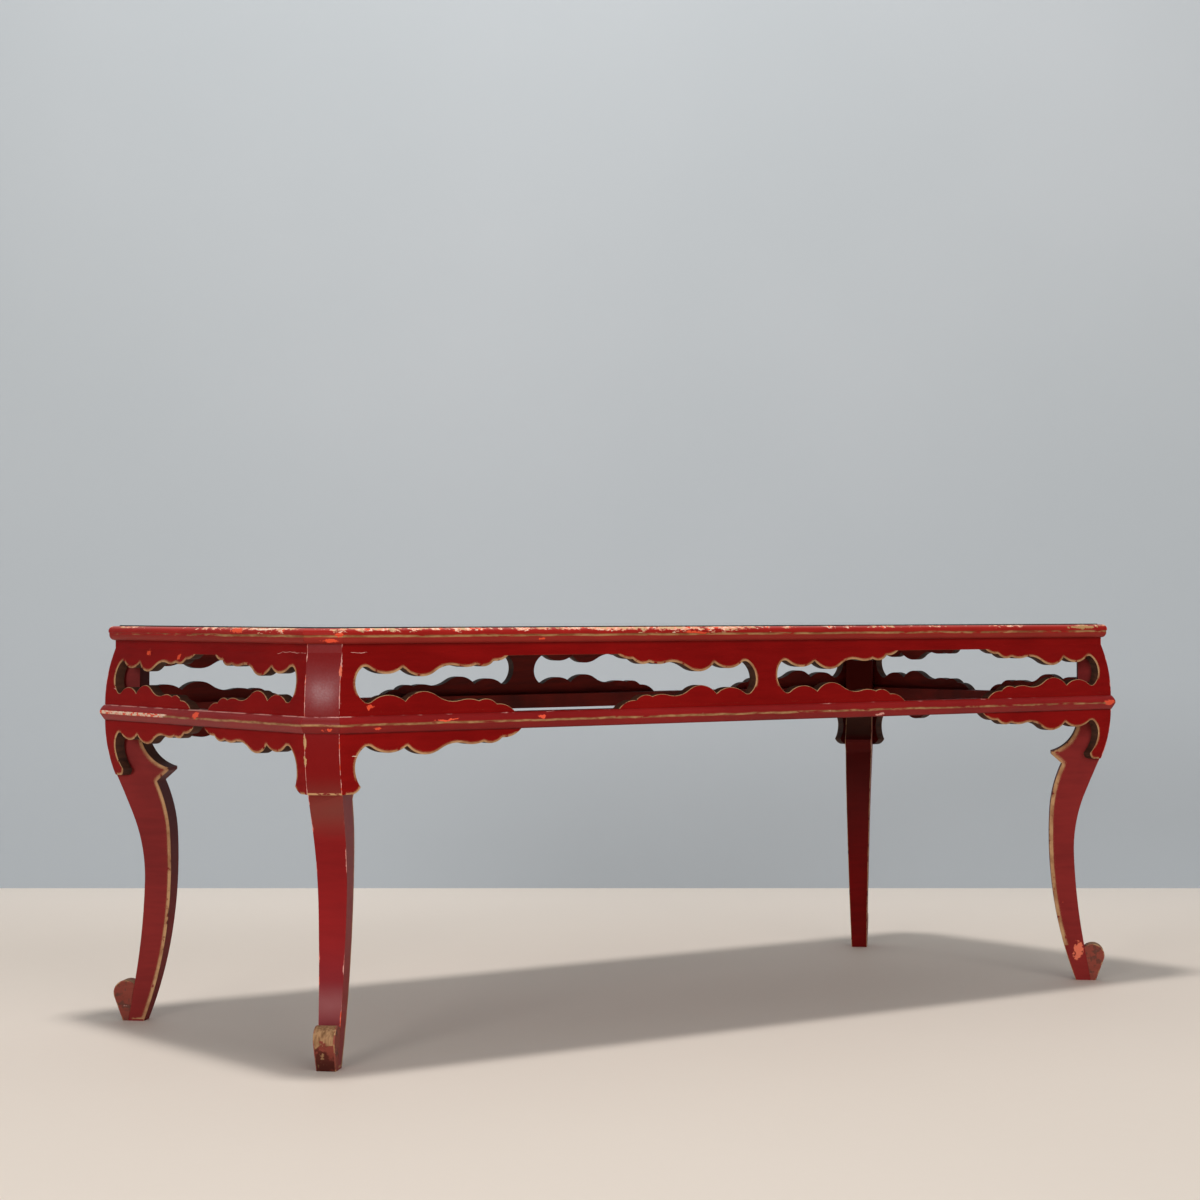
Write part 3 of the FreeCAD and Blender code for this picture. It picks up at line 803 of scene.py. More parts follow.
    def _openings(self) -> None:
        """Lines the openings and scallops with gold, but not their rising edges, the lip or the joints."""
        x, y, z = self.axes()
        lean, (_, _, up) = self.lean(self.kind.line * self.kind.feel)
        joint = 2.2 * self.kind.line
        soft = 0.0004
        frieze = z.between(Levels.BELT_TOP + joint, Levels.LIP, soft / 2)
        apron = z.fall(Levels.BELT_FOOT - joint - soft, Levels.BELT_FOOT - joint)
        clear = (frieze + apron) * (Plan.across(x, y) - Plan.HALF_LEG).rise(joint, joint + soft)
        self._gild(lean, up.fall(0.40, 0.50) * clear)

    def _back_line(self) -> None:
        """Lines the sides of the leg with gold along its back, from the foot to the belt."""
        x, y, z = self.axes()
        lean, (along_x, along_y, _) = self.lean(self.kind.line * self.kind.feel)
        inward = (along_x * x.sign() + along_y * y.sign()) * (-1 / ROOT_TWO)
        below = z.between(self.kind.line_foot, Levels.BELT_FOOT - 0.001, 0.0005)
        self._gild(lean, inward.rise(-0.15, 0.0) * below)

    def _gild(self, lean: Value, where: Value) -> None:
        """Draws a gold line by hand along an arris.

        Args:
            lean: Nearness to the arris.
            where: Where the line is wanted.
        """
        tint = self.noise(60.0)
        wobble = self.noise(140.0)
        rub = self.noise(120.0, 4.0, 0.62)
        gold = self.blend(tint.rise(0.35, 0.65), Shades.OLD_GOLD, Shades.GOLD)
        drawn = (lean + (wobble - 0.5) * 0.04).rise(0.05, 0.09)
        self.over(drawn * where * rub.rise(0.35, 0.41), gold, 0.5, 0.1, 0.12)

    def _chips(self) -> None:
        """Scatters small chips that show the orange ground and a little gesso."""
        loss = self.noise(46.0, 5.0, 0.68) + self.kind.chips
        self.over(loss.rise(0.742, 0.752), Shades.GROUND, 0.55, -0.5)
        self.over(loss.rise(0.785, 0.795), Shades.GESSO, 0.65, -0.3)

    def _scars(self) -> None:
        """Breaks the larger chips, each with a ragged edge."""
        if not self.kind.scars:
            return
        ragged = (self.noise(230.0, 4.0, 0.65) - 0.5) * 2.6
        bent = self.node("CombineXYZ", {2: (self.noise(60.0, 2.0) - 0.5) * 0.006})
        waved = self.vector("ADD", self.place, bent.outputs[0])[0]
        for scar in self.kind.scars:
            scale = (1 / scar.half_length, 1 / scar.half_length, 1 / scar.half_height)
            away = self.vector("MULTIPLY", self.vector("SUBTRACT", waved, scar.place)[0], scale)[0]
            self.over((self.length(away) + ragged).fall(0.80, 0.92), scar.shade, 0.58, -0.4)


@dataclass(frozen=True)
class Gilding:
    """Gold paint along an arris, rubbed through in places."""

    name: str
    worn: float = 0.42
    under: Shade = Shades.CUT

    def make(self) -> Material:
        """Mixes the finish."""
        paint = Paint(self.name)
        tint = paint.noise(60.0)
        rub = paint.noise(120.0, 4.0, 0.62)
        fine = paint.noise(900.0, 2.0)
        gold = paint.blend(tint.rise(0.35, 0.65), Shades.OLD_GOLD, Shades.GOLD)
        paint.ground(gold, 0.46 + fine * 0.12, fine * 0.3 + tint * 0.3)
        paint.metal = 0.1 + tint * 0.1
        paint.over(rub.fall(self.worn - 0.05, self.worn), self.under, 0.6, -0.2)
        paint.over(rub.rise(0.68, 0.71), Shades.RED, 0.5, -0.2)
        return paint.done(depth=0.0003, gloss=0.3)


@dataclass(frozen=True)
class StainedWood:
    """Wood that was sawn, stained and left without lacquer."""

    name: str
    dark: Shade
    light: Shade
    across: float
    up: float
    rough: float = 0.64

    def make(self) -> Material:
        """Mixes the finish."""
        paint = Paint(self.name)
        cloud = paint.noise(9.0)
        grain = paint.noise(self.across, 5.0, 0.6, 0.6, up=self.up)
        pores = paint.noise(620.0, 2.0, 0.6)
        tone = grain * 0.7 + cloud * 0.5 - 0.1
        colour = paint.blend(tone.rise(0.25, 0.75), self.dark, self.light)
        paint.ground(colour, self.rough + pores * 0.12, grain * 0.6 + pores * 0.4)
        return paint.done(depth=0.0004, gloss=0.22)


@dataclass(frozen=True)
class PaneGlass:
    """Clear float glass."""

    name: str = "pane_glass"
    bending: float = 1.5
    smears: float = 0.03

    def make(self) -> Material:
        """Mixes the glass, which lets the lamps through to the board under it."""
        recipe = Recipe(self.name)
        colour = Shades.GLASS.linear
        glass = recipe.node("BsdfPrincipled", {
            "Base Color": colour, "Roughness": recipe.noise(5.0) * self.smears,
            "IOR": self.bending, "Transmission Weight": 1.0})
        clear = recipe.node("BsdfTransparent", {"Color": colour})
        return recipe.mix(recipe.node("LightPath").outputs["Is Shadow Ray"], glass, clear)


@dataclass(frozen=True)
class PaneEdge:
    """Ground edge of the pane, dark green with the depth of glass behind it."""

    name: str = "pane_edge"

    def make(self) -> Material:
        """Mixes the finish."""
        paint = Paint(self.name)
        cloud = paint.noise(30.0)
        colour = paint.blend(cloud.rise(0.3, 0.7), Shades.GLASS_EDGE_DARK, Shades.GLASS_EDGE)
        paint.ground(colour, 0.7 + cloud * 0.1, cloud)
        return paint.done(depth=0.00005, gloss=0.04)


@dataclass(frozen=True)
class ScrewSteel:
    """Dull steel of old screws, a little rusty."""

    name: str = "screw_steel"

    def make(self) -> Material:
        """Mixes the finish."""
        paint = Paint(self.name)
        spot = paint.noise(240.0, 4.0, 0.6)
        paint.ground(Shades.STEEL, 0.36 + spot * 0.2, spot)
        paint.metal = 1.0 - spot * 0.2
        paint.over(spot.rise(0.52, 0.62), Shades.RUST, 0.75, 0.2)
        return paint.done(depth=0.0001)


class Finishes:
    """All finishes of the table, each mixed once."""

    def __init__(self) -> None:
        """Mixes them."""
        self.frieze = Lacquer("frieze_lacquer", (Layer.OPENINGS, Layer.ARRIS),
                              Scars.FRIEZE + Scars.CORNER, gloss=0.03).make()
        self.edge = Lacquer("edge_lacquer", (Layer.BEAD,), Scars.EDGE,
                            Shades.DEEP_EDGE_RED, Shades.EDGE_RED).make()
        belt = Lacquer("belt_lacquer", (Layer.NOSE, Layer.BEHIND), Scars.BELT, gloss=0.22, chips=0.01)
        self.belt = belt.make()
        self.belt_corner = replace(belt, name="belt_corner_lacquer", deep=Shades.DEEP_CORNER_RED,
                                   bright=Shades.CORNER_RED, chips=0.0).make()
        self.leg = Lacquer("leg_lacquer", (Layer.SHEEN, Layer.HAZE, Layer.ARRIS, Layer.KNEE),
                           Scars.CORNER + Scars.SHIN, Shades.DEEP_LEG_RED, Shades.LEG_RED).make()
        side = Lacquer("leg_side_lacquer", (Layer.BACK_LINE,), (), Shades.DEEP_SIDE_RED, Shades.SIDE_RED,
                       rough=0.46, gloss=0.16, line=0.0022)
        self.leg_side = side.make()
        self.leg_side_broad = replace(side, name="leg_side_broad_line", scars=Scars.SHIN,
                                      line=0.0029, line_foot=0.044).make()
        self.leg_back = Lacquer("leg_back_lacquer", (Layer.BACK,), (), Shades.DEEP_BACK_RED,
                                Shades.BACK_RED, rough=0.5, gloss=0.05).make()
        foot = Lacquer("foot_lacquer", (Layer.FOOT,), (), Shades.FOOT_BROWN, Shades.FOOT_RED, rough=0.48)
        self.foot = foot.make()
        self.foot_rim = Gilding("foot_rim", worn=0.54, under=Shades.FOOT_RED).make()
        self.foot_side = replace(foot, name="foot_side_lacquer", layers=(Layer.SCUFF,), rough=0.55).make()
        self.top = Lacquer("top_lacquer", rough=0.34, chips=-0.05).make()
        self.gilt = Gilding("gilt_arris").make()
        self.cut = StainedWood("cut_edge", Shades.CUT_DARK, Shades.CUT, 60.0, 200.0).make()
        self.inside = StainedWood("inside_stain", Shades.INSIDE_DARK, Shades.INSIDE, 14.0, 120.0).make()
        self.wood = StainedWood("cleat_wood", Shades.WOOD_DARK, Shades.WOOD, 26.0, 160.0).make()
        self.glass = PaneGlass().make()
        self.glass_edge = PaneEdge().make()
        self.steel = ScrewSteel().make()


class Bombe:
    """Swelling of the fronts above and below the belt."""

    BULGE = 0.0088

    @staticmethod
    def normal(outward: Vector, height: float, middle: float, bulge: float) -> Vector:
        """Exact normal of a swelling front.

        Args:
            outward: Level direction out of the front.
            height: Height of the point.
            middle: Height of its face's middle, which tells the neck from the swelling under it.
            bulge: Depth of the swelling along outward.

        Returns:
            The normal, which looks up above the belt and down below it.
        """
        if middle > Levels.NECK_FOOT:
            return outward.copy()
        if middle > Levels.BELT_TOP:
            run, rise = max(height - Levels.BELT_TOP, 0.0), Levels.NECK_FOOT - Levels.BELT_TOP
        else:
            run, rise = min(height - Levels.BELT_FOOT, 0.0), Levels.BELT_FOOT - Levels.TOE
        lean = run * 2 * bulge / (rise ** 2 + bulge ** 2)
        return outward * math.sqrt(1 - lean ** 2) + Vector((0.0, 0.0, lean))


class Arris(NamedTuple):
    """An edge of a piece, as the tests that choose edges see it: its angle is in degrees."""

    low: Vector
    high: Vector
    angle: float
    normals: tuple[Vector, Vector]
    faces: set[int]

    @classmethod
    def between(cls, edge: bmesh.types.BMEdge) -> "Arris":
        """The arris between the two faces of an edge.

        Args:
            edge: Edge of a mesh in edit mode.

        Returns:
            What the tests have to know of it.
        """
        one, two = edge.link_faces
        low, high = sorted((vert.co for vert in edge.verts), key=lambda co: co.z)
        return cls(low, high, math.degrees(edge.calc_face_angle(0.0)), (one.normal, two.normal),
                   {one.material_index, two.material_index})


class Workpiece:
    """A mesh on the bench, shaped in edit mode and finished face by face."""

    def __init__(self, obj: bpy.types.Object) -> None:
        """Takes an object in hand."""
        self.obj = obj

    @classmethod
    def from_node(cls, node: str, name: str, body: str = FRAME_BODY) -> "Workpiece":
        """Copies a CAD node's mesh and merges its loose triangles.

        Args:
            node: CAD node to copy.
            name: Name of the new piece.
            body: Body that it rides with.

        Returns:
            The copy, which stands for the node.
        """
        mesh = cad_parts[node].data.copy()
        mesh.name = name
        mesh.materials.clear()
        obj = bpy.data.objects.new(name, mesh)
        bpy.context.scene.collection.objects.link(obj)
        piece = cls(obj)
        piece.edit("SELECT")
        bpy.ops.mesh.remove_doubles(threshold=MERGE)
        piece.close()
        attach(obj, body)
        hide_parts(node)
        return piece

    def pick(self) -> None:
        """Selects the piece alone and makes it the active one."""
        bpy.ops.object.select_all(action="DESELECT")
        bpy.context.view_layer.objects.active = self.obj
        self.obj.select_set(True)

    def edit(self, action: str) -> bmesh.types.BMesh:
        """Opens edit mode.

        Args:
            action: SELECT for all edges selected, or DESELECT for none.

        Returns:
            The mesh in edit mode.
        """
        self.pick()
        bpy.ops.object.mode_set(mode="EDIT")
        bpy.ops.mesh.select_mode(type="EDGE")
        bpy.ops.mesh.select_all(action=action)
        return bmesh.from_edit_mesh(self.obj.data)

    def close(self) -> None:
        """Leaves edit mode."""
        bpy.ops.object.mode_set(mode="OBJECT")

    def flatten(self) -> None:
        """Joins the triangles of each flat face into one face."""
        self.edit("SELECT")
        bpy.ops.mesh.dissolve_limited(angle_limit=FLAT)
        self.close()

    def dress(self, *materials: Material) -> None:
        """Fills the material slots in turn."""
        for material in materials:
            self.obj.data.materials.append(material)

    def sort_faces(self, slot_of: Callable[[Vector], int]) -> None:
        """Gives each face its material slot.

        Args:
            slot_of: Gives the slot from the normal of a face.
        """
        for face in self.edit("DESELECT").faces:
            face.material_index = slot_of(face.normal)
        bmesh.update_edit_mesh(self.obj.data)
        self.close()

    def round_edges(self, chosen: Callable[[Arris], bool], width: float, segments: int = 1,
                    slot: int = -1) -> None:
        """Bevels the edges that a test chooses.

        Args:
            chosen: Test of an edge.
            width: Set-back of the bevel on each face.
            segments: Facets across the bevel.
            slot: Material slot of the new faces, or -1 for that of their neighbours.
        """
        edges = [edge for edge in self.edit("DESELECT").edges if len(edge.link_faces) == 2]
        picked = [edge for edge in edges if chosen(Arris.between(edge))]
        for edge in picked:
            edge.select_set(True)
        bmesh.update_edit_mesh(self.obj.data)
        if picked:
            bpy.ops.mesh.bevel(offset=width, segments=segments, profile=0.5, affect="EDGES",
                               clamp_overlap=False, loop_slide=False, material=slot)
        self.close()

    def smooth(self, angle: float = 32.0) -> None:
        """Shades the rounded faces smooth."""
        self.pick()
        bpy.ops.object.shade_smooth_by_angle(angle=math.radians(angle))

    def true_normals(self, normal_of: Callable[[Vector, Polygon, Vector], Optional[Vector]]) -> None:
        """Sets exact normals on flat and swelling faces, where long triangles would shade in streaks.

        Args:
            normal_of: Gives the normal from a place, its face and its shaded normal, or none to leave it.
        """
        mesh = self.obj.data
        shaded = [corner.vector.copy() for corner in mesh.corner_normals]
        normals = []
        for face in mesh.polygons:
            for loop in face.loop_indices:
                place = mesh.vertices[mesh.loops[loop].vertex_index].co
                exact = normal_of(place, face, shaded[loop])
                normals.append(Vector() if exact is None else exact)
        mesh.normals_split_custom_set(normals)

    def hand_over(self, slot: Slot) -> None:
        """Reports the piece."""
        log.info("%s: %d faces", self.obj.name, len(self.obj.data.polygons))


@dataclass
class PiercedBoards:
    """Friezes and aprons: bombe boards whose cut-outs have gilded arrises."""

    finishes: Finishes
    gilt_width: float = 0.0006
    eased: float = 0.0003
    facing: float = 0.80
    joint: float = 0.0006
    leg_joint: float = 0.0004

    def build(self) -> None:
        """Finishes all boards."""
        ends = {Side.FRONT: ("left", "right"), Side.RIGHT: ("front", "back"),
                Side.BACK: ("right", "left"), Side.LEFT: ("back", "front")}
        for side in Side:
            self._board("frieze_" + side.label, side, Levels.BELT_TOP, Levels.EDGE_FOOT)
            for end in ends[side]:
                self._board("apron_%s_%s" % (side.label, end), side, 0.0, Levels.BELT_FOOT)

    def _board(self, node: str, side: Side, low: float, high: float) -> None:
        """Finishes one board.

        Args:
            node: CAD node.
            side: Side that the board is on.
            low: Height under which its arrises lie hidden in a joint.
            high: Height over which they do.
        """
        piece = Workpiece.from_node(node, node + "_board")
        piece.dress(self.finishes.frieze, self.finishes.gilt, self.finishes.cut, self.finishes.inside)
        outward = side.outward

        def face_of(normal: Vector) -> Face:
            """Front, back or cut edge."""
            facing = normal.dot(outward)
            return Face.FRONT if facing > self.facing else Face.BACK if facing < -self.facing else Face.SIDE

        def open_arris(arris: Arris) -> bool:
            """An arris outside the joints with the belt, the top and the legs."""
            hidden = arris.low.z > high - self.joint or arris.high.z < low + self.joint
            return not hidden and not (self._at_leg(arris.low) and self._at_leg(arris.high))

        def gilt_arris(arris: Arris) -> bool:
            """An open arris of the front that isn't the straight lip of an opening."""
            below_lip = arris.low.z < Levels.LIP - self.joint
            return arris.faces == {Face.FRONT, Face.SIDE} and open_arris(arris) and below_lip

        def normal_of(place: Vector, face: Polygon, shaded: Vector) -> Optional[Vector]:
            """Exact normal of the front and of the back, which swell alike."""
            if face.material_index not in (Face.FRONT, Face.BACK):
                return None
            exact = Bombe.normal(outward, place.z, face.center.z, Bombe.BULGE)
            return exact if face.material_index == Face.FRONT else -exact

        piece.sort_faces(face_of)
        piece.round_edges(gilt_arris, self.gilt_width, 2, Face.GILT)
        piece.round_edges(lambda a: a.faces == {Face.SIDE, Face.BACK} and open_arris(a), self.eased)
        piece.smooth()
        piece.true_normals(normal_of)
        piece.hand_over(Slot.RED)

    def _at_leg(self, place: Vector) -> bool:
        """True on the side plane of a leg."""
        return abs(Plan.across(place.x, place.y) - Plan.HALF_LEG) < self.leg_joint


@dataclass
class Mouldings:
    """Edge strips round the top and belt rails, with their short pieces on the canted corners."""

    finishes: Finishes
    crisp: float = 0.00035
    sharp: float = 28.0

    def build(self) -> None:
        """Finishes all mouldings."""
        for side in Side:
            self._strip("edge_" + side.label, self.finishes.edge)
            self._strip("belt_" + side.label, self.finishes.belt)
        for corner in Corner:
            self._strip("edge_corner_" + corner.label, self.finishes.edge)
            self._strip("belt_corner_" + corner.label, self.finishes.belt_corner)

    def _strip(self, node: str, finish: Material) -> None:
        """Softens one strip and opens its mitres to fine joint lines.

        Args:
            node: CAD node.
            finish: Its lacquer.
        """
        piece = Workpiece.from_node(node, node + "_strip")
        piece.dress(finish)
        piece.round_edges(lambda a: a.angle > self.sharp, self.crisp)
        piece.smooth()
        piece.hand_over(Slot.MOULDING)


@dataclass
class CabrioleLegs:
    """Diagonal legs with gilded back arrises, and the scroll blocks on their feet."""

    finishes: Finishes
    gilt_width: float = 0.0007
    eased: float = 0.0007
    sideways: float = 0.8
    forward: float = 0.2
    sole: float = 0.0005
    scroll_round: float = 0.0012
    scroll_sharp: float = 60.0
    scroll_smooth: float = 50.0
    scroll_sole: float = 0.004
    seam: float = -0.5

    def build(self) -> None:
        """Finishes the legs and their scrolls."""
        for corner in Corner:
            self._leg(corner)
            self._scroll(corner)

    def _leg(self, corner: Corner) -> None:
        """Finishes one leg: red front and sides, dull back, gold along the back arrises.

        Args:
            corner: Corner that the leg stands at.
        """
        node = "leg_" + corner.label
        piece = Workpiece.from_node(node, node + "_board")
        piece.flatten()
        side = self.finishes.leg_side_broad if corner is Corner.FRONT_RIGHT else self.finishes.leg_side
        piece.dress(self.finishes.leg, self.finishes.gilt, side, self.finishes.leg_back)
        outward = corner.outward
        beside = corner.beside

        def face_of(normal: Vector) -> Face:
            """Lacquered front, lacquered sides or dull back."""
            if abs(normal.dot(beside)) > self.sideways:
                return Face.SIDE
            return Face.FRONT if normal.dot(outward) > self.forward else Face.BACK

        def back_arris(arris: Arris) -> bool:
            """An arris between a side and the back, below the belt."""
            return (arris.faces == {Face.SIDE, Face.BACK}
                    and self.sole < arris.high.z < Levels.BELT_FOOT + 0.001)

        def front_arris(arris: Arris) -> bool:
            """An arris of the front below the toe."""
            return arris.faces == {Face.FRONT, Face.SIDE} and arris.high.z < Levels.TOE

        def normal_of(place: Vector, face: Polygon, shaded: Vector) -> Optional[Vector]:
            """Exact normal of the canted front above the toe, and of the other faces level across."""
            if face.material_index == Face.FRONT and face.center.z > Levels.TOE:
                return Bombe.normal(outward, place.z, face.center.z, Bombe.BULGE * ROOT_TWO)
            return self._level(face, shaded, beside)

        piece.sort_faces(face_of)
        piece.round_edges(back_arris, self.gilt_width, 2, Face.GILT)
        piece.round_edges(front_arris, self.eased, 2)
        piece.smooth()
        piece.true_normals(normal_of)
        piece.hand_over(Slot.LEG)

    def _level(self, face: Polygon, shaded: Vector, beside: Vector) -> Optional[Vector]:
        """Normal of a face that is level across the leg.

        Args:
            face: Face of a leg or scroll.
            shaded: Its smooth normal at a corner.
            beside: Direction across the leg.

        Returns:
            The face's own normal on the sides, a normal without sideways lean on the front and
            back, and none on a gilded arris.
        """
        if face.material_index == Face.GILT:
            return None
        if abs(face.normal.dot(beside)) > self.sideways:
            return face.normal.copy()
        return (shaded - beside * shaded.dot(beside)).normalized()

    def _scroll(self, corner: Corner) -> None:
        """Rounds and finishes one scroll block.

        Args:
            corner: Corner whose leg it is glued to.
        """
        node = "foot_scroll_" + corner.label
        piece = Workpiece.from_node(node, node + "_block")
        piece.flatten()
        piece.dress(self.finishes.foot, self.finishes.foot_rim, self.finishes.foot_side)
        outward = corner.outward
        beside = corner.beside

        def face_of(normal: Vector) -> Face:
            """Sides or worn front."""
            return Face.SIDE if abs(normal.dot(beside)) > self.sideways else Face.FRONT

        def rim(arris: Arris) -> bool:
            """A sharp arris away from the floor and from the seam with the leg."""
            at_seam = min(normal.dot(outward) for normal in arris.normals) < self.seam
            return arris.angle > self.scroll_sharp and arris.high.z > self.scroll_sole and not at_seam

        piece.sort_faces(face_of)
        piece.round_edges(rim, self.scroll_round, 3, Face.GILT)
        piece.smooth(self.scroll_smooth)
        piece.true_normals(lambda place, face, shaded: self._level(face, shaded, beside))
        piece.hand_over(Slot.FOOT)


@dataclass
class TopAndCarcase:
    """Board, cleats and battens under the loose glass, and the glass."""

    finishes: Finishes
    eased: float = 0.0008
    sharp: float = 40.0
    upward: float = 0.5
    flat: float = 0.9

    def build(self) -> None:
        """Finishes the top."""
        self._panel()
        for side in Side:
            self._stick("cleat_" + side.label)
        for place in ("left", "middle", "right"):
            self._stick("batten_" + place)
        self._pane()

    def _panel(self) -> None:
        """Lacquers the board's upper face and leaves its underside in stained wood."""
        piece = Workpiece.from_node("top_board", "top_board_panel")
        piece.dress(self.finishes.top, self.finishes.inside)
        piece.sort_faces(lambda normal: 0 if normal.z > self.upward else 1)
        piece.hand_over(Slot.TOP)

    def _pane(self) -> None:
        """Leaves the pane clear and its ground edge dark."""
        piece = Workpiece.from_node("glass_top", "glass_top_pane", GLASS_BODY)
        piece.dress(self.finishes.glass, self.finishes.glass_edge)
        piece.sort_faces(lambda normal: 0 if abs(normal.z) > self.flat else 1)
        piece.hand_over(Slot.GLASS)

    def _stick(self, node: str) -> None:
        """Eases the arrises of a cleat or batten.

        Args:
            node: CAD node.
        """
        piece = Workpiece.from_node(node, node + "_stick")
        piece.dress(self.finishes.wood)
        piece.round_edges(lambda a: a.angle > self.sharp, self.eased)
        piece.hand_over(Slot.WOOD)


@dataclass
class Screws:
    """Round-headed screws that hold cleats and battens to the top board."""

    finishes: Finishes
    radius: float = 0.0038
    height: float = 0.0024
    dome: float = 0.0015
    slot_width: float = 0.0009
    slot_depth: float = 0.0010
    sunk: float = 0.0003
    facets: int = 20
    smooth: float = 40.0
    turn: float = 47.0
    long_cleat: tuple[float, ...] = (-0.78, -0.33, 0.33, 0.78)
    short_cleat: tuple[float, ...] = (-0.55, 0.55)
    batten: tuple[float, ...] = (-0.7, 0.7)

    def build(self) -> None:
        """Sets all screws, each with its slot turned further than the last."""
        places = []
        for side in (Side.FRONT, Side.BACK):
            places += self._row("cleat_" + side.label, self.long_cleat, along=0)
        for side in (Side.LEFT, Side.RIGHT):
            places += self._row("cleat_" + side.label, self.short_cleat, along=1)
        for place in ("left", "middle", "right"):
            places += self._row("batten_" + place, self.batten, along=1)
        head = self._head()
        for number, place in enumerate(places):
            self._set("top_screw_%02d" % (number + 1), head, place, math.radians(self.turn * number))
        bpy.data.meshes.remove(head)

    @staticmethod
    def _row(node: str, fractions: tuple[float, ...], along: int) -> list[Vector]:
        """Places of the screws under a cleat or batten.

        Args:
            node: CAD node of the stick.
            fractions: Places along it, from -1 at one end to 1 at the other.
            along: Axis that it runs along, 0 or 1.

        Returns:
            The places, on its underside.
        """
        low, high = (Vector(corner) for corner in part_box(node))
        middle, half = (low + high) / 2, (high - low) / 2
        places = []
        for fraction in fractions:
            place = Vector((middle.x, middle.y, low.z))
            place[along] += fraction * half[along]
            places.append(place)
        return places

    def _head(self) -> bpy.types.Mesh:
        """Models one head that hangs from the origin: a disc domed by a bevel, with its slot cut across.

        Returns:
            The mesh of the head.
        """
        bpy.ops.object.select_all(action="DESELECT")
        bpy.ops.mesh.primitive_cylinder_add(
            vertices=self.facets, radius=self.radius, depth=self.height,
            location=(0, 0, self.sunk - self.height / 2))
        head = Workpiece(bpy.context.object)
        bpy.ops.object.transform_apply(location=True, rotation=True, scale=True)
        head.round_edges(lambda a: a.high.z < -self.height / 2, self.dome, 4)
        bpy.ops.object.select_all(action="DESELECT")
        bpy.ops.mesh.primitive_cube_add(size=1.0, location=(0, 0, self.sunk - self.height))
        cutter = bpy.context.object
        cutter.scale = (4 * self.radius, self.slot_width, 2 * self.slot_depth)
        head.pick()
        cut = head.obj.modifiers.new("slot", "BOOLEAN")
        cut.object = cutter
        bpy.ops.object.modifier_apply(modifier=cut.name)
        bpy.data.meshes.remove(cutter.data)
        head.dress(self.finishes.steel)
        head.smooth(self.smooth)
        mesh = head.obj.data
        mesh.name = "screw_head"
        bpy.data.objects.remove(head.obj)
        return mesh

    @staticmethod
    def _set(name: str, head: bpy.types.Mesh, place: Vector, turn: float) -> None:
        """Drives one screw home.

        Args:
            name: Name of the piece.
            head: Mesh that is copied.
            place: Middle of its seat.
            turn: Angle of its slot.
        """
        mesh = head.copy()
        mesh.name = name
        mesh.transform(Matrix.Translation(place) @ Matrix.Rotation(turn, 4, "Z"))
        obj = bpy.data.objects.new(name, mesh)
        bpy.context.scene.collection.objects.link(obj)
        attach(obj, FRAME_BODY)
        log.info("%s: %d faces", name, len(mesh.polygons))


class Lamp(NamedTuple):
    """A square softbox: where it hangs, where it points, its side, its watts and whether it is mirrored."""

    name: str
    place: Triple
    target: Triple
    size: float
    power: float
    mirrored: bool = True


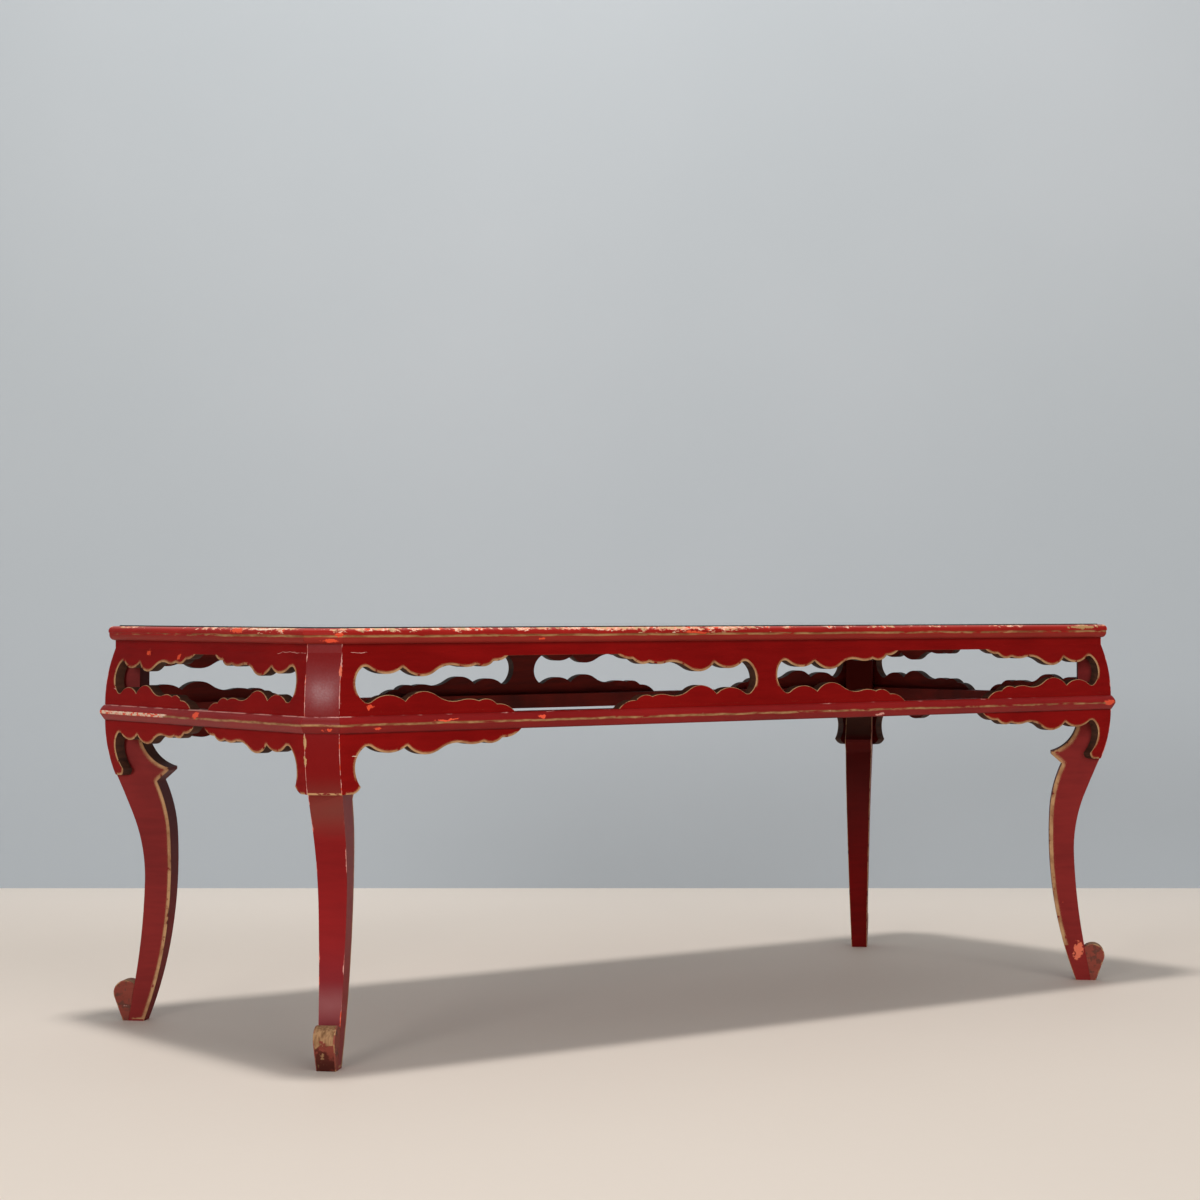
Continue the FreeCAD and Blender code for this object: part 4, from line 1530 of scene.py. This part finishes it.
@dataclass
class Studio:
    """Floor, backdrop, lamps and the camera."""

    camera_place: Triple = (-2.0019, -2.5780, 0.4695)
    yaw: float = 37.081
    pitch: float = 0.193
    lens: float = 81.07
    sensor: float = 36.0
    floor_size: float = 60.0
    floor_light_fade: tuple[float, float] = (0.3, 1.5)
    wall_size: float = 9.0
    wall_shade_height: float = 1.1
    wall_distance: float = 4.548
    floor: Shade = Shade(222, 208, 194)
    lit_far_floor: Shade = Shade(250, 237, 224)
    wall: Shade = Shade(199, 204, 208)
    wall_shade: Shade = Shade(193, 199, 203)
    shaded_wall_foot: Shade = Shade(187, 194, 200)
    air: Shade = Shade(214, 219, 222)
    air_light: float = 0.42
    lamps: tuple[Lamp, ...] = (
        Lamp("overhead_softbox", (-0.41, -0.12, 3.4), (-0.2, 0.0, 0.2), 0.4, 60.0),
        Lamp("side_softbox", (-3.3, -2.0, 1.35), (0.0, 0.0, 0.3), 0.9, 30.0),
        Lamp("front_softbox", (-0.9, -3.9, 2.2), (0.0, 0.0, 0.3), 2.4, 46.0, mirrored=False),
    )

    def build(self) -> None:
        """Sets up the studio."""
        self._camera()
        self._floor()
        self._backdrop()
        for lamp in self.lamps:
            self._hang(lamp)
        self._world()
        bpy.context.scene.view_settings.view_transform = "Standard"

    def _heading(self) -> Vector:
        """Level direction in which the camera looks."""
        turn = math.radians(self.yaw)
        return Vector((math.sin(turn), math.cos(turn), 0.0))

    @staticmethod
    def _place(name: str, data: bpy.types.ID, place: Triple, look: Vector) -> bpy.types.Object:
        """Puts a camera or lamp in the scene.

        Args:
            name: Name of the object.
            data: Camera or lamp.
            place: Where it goes.
            look: Direction in which it looks.

        Returns:
            The object.
        """
        obj = bpy.data.objects.new(name, data)
        bpy.context.scene.collection.objects.link(obj)
        obj.location = place
        obj.rotation_euler = look.to_track_quat("-Z", "Y").to_euler()
        return obj

    def _camera(self) -> None:
        """Sets the camera where the photographer stood."""
        data = bpy.data.cameras.new("view")
        data.lens = self.lens
        data.sensor_width = self.sensor
        tilt = math.radians(self.pitch)
        look = self._heading() * math.cos(tilt) + Vector((0, 0, math.sin(tilt)))
        bpy.context.scene.camera = self._place("view", data, self.camera_place, look)

    def _floor(self) -> None:
        """Lays the pale floor, brightened towards the wall with painted light, and clear from below."""
        recipe = Recipe("floor_paint")
        cloud = recipe.noise(1.2, 4.0)
        x, y, _ = recipe.axes()
        heading = self._heading()
        away = (x * heading.x + y * heading.y).rise(*self.floor_light_fade)
        # Painted light: the floor brightens towards the wall.
        colour = recipe.blend(away * 0.85 + cloud * 0.15, self.floor, self.lit_far_floor)
        paint = recipe.node("BsdfPrincipled", {
            "Base Color": colour, "Roughness": 0.6 + recipe.noise(60.0) * 0.1})
        floor = self._plane("studio_floor", self.floor_size, recipe, paint)

    def _backdrop(self) -> None:
        """Hangs the pale wall, darkened towards its foot with painted shade, and clear from behind."""
        recipe = Recipe("wall_paint")
        cloud = recipe.noise(0.8)
        upper = recipe.blend(cloud.rise(0.3, 0.7), self.wall_shade, self.wall)
        half = self.wall_size / 2
        low = recipe.axes()[1].fall(-half, self.wall_shade_height - half)
        # Painted shade: the wall darkens towards the floor.
        colour = recipe.blend(low, upper, self.shaded_wall_foot)
        paint = recipe.node("BsdfDiffuse", {"Color": colour})
        wall = self._plane("studio_wall", self.wall_size, recipe, paint)
        heading = self._heading()
        foot = Vector(self.camera_place) + heading * self.wall_distance
        wall.location = (foot.x, foot.y, half)
        wall.rotation_euler = (-heading).to_track_quat("Z", "Y").to_euler()

    @staticmethod
    def _plane(name: str, size: float, recipe: Recipe, paint: bpy.types.Node) -> bpy.types.Object:
        """Makes a square of the studio that is painted in front and clear from behind.

        Args:
            name: Name of the object.
            size: Length of its side.
            recipe: Recipe of the paint.
            paint: Shader node of the painted face.

        Returns:
            The square, flat at the origin.
        """
        clear = recipe.node("BsdfTransparent")
        behind = recipe.node("NewGeometry").outputs["Backfacing"]
        bpy.ops.object.select_all(action="DESELECT")
        bpy.ops.mesh.primitive_plane_add(size=size)
        plane = bpy.context.object
        plane.name = name
        plane.data.materials.append(recipe.mix(behind, paint, clear))
        return plane

    def _hang(self, lamp: Lamp) -> None:
        """Hangs one softbox.

        Args:
            lamp: What the softbox is like.
        """
        data = bpy.data.lights.new(lamp.name, "AREA")
        data.size = lamp.size
        data.energy = lamp.power
        look = Vector(lamp.target) - Vector(lamp.place)
        self._place(lamp.name, data, lamp.place, look).visible_glossy = lamp.mirrored

    def _world(self) -> None:
        """Fills the shadows with pale light from all round."""
        world = bpy.data.worlds.new("studio_air")
        world.use_nodes = True
        bpy.context.scene.world = world
        sky = world.node_tree.nodes["Background"]
        sky.inputs["Color"].default_value = self.air.linear
        sky.inputs["Strength"].default_value = self.air_light


def main() -> None:
    """Builds the looks in order."""
    logging.basicConfig(level=logging.INFO, format="%(name)s %(message)s")
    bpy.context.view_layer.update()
    finishes = Finishes()
    PiercedBoards(finishes).build()
    Mouldings(finishes).build()
    CabrioleLegs(finishes).build()
    TopAndCarcase(finishes).build()
    Screws(finishes).build()
    Studio().build()


if __name__ == "__main__":
    main()
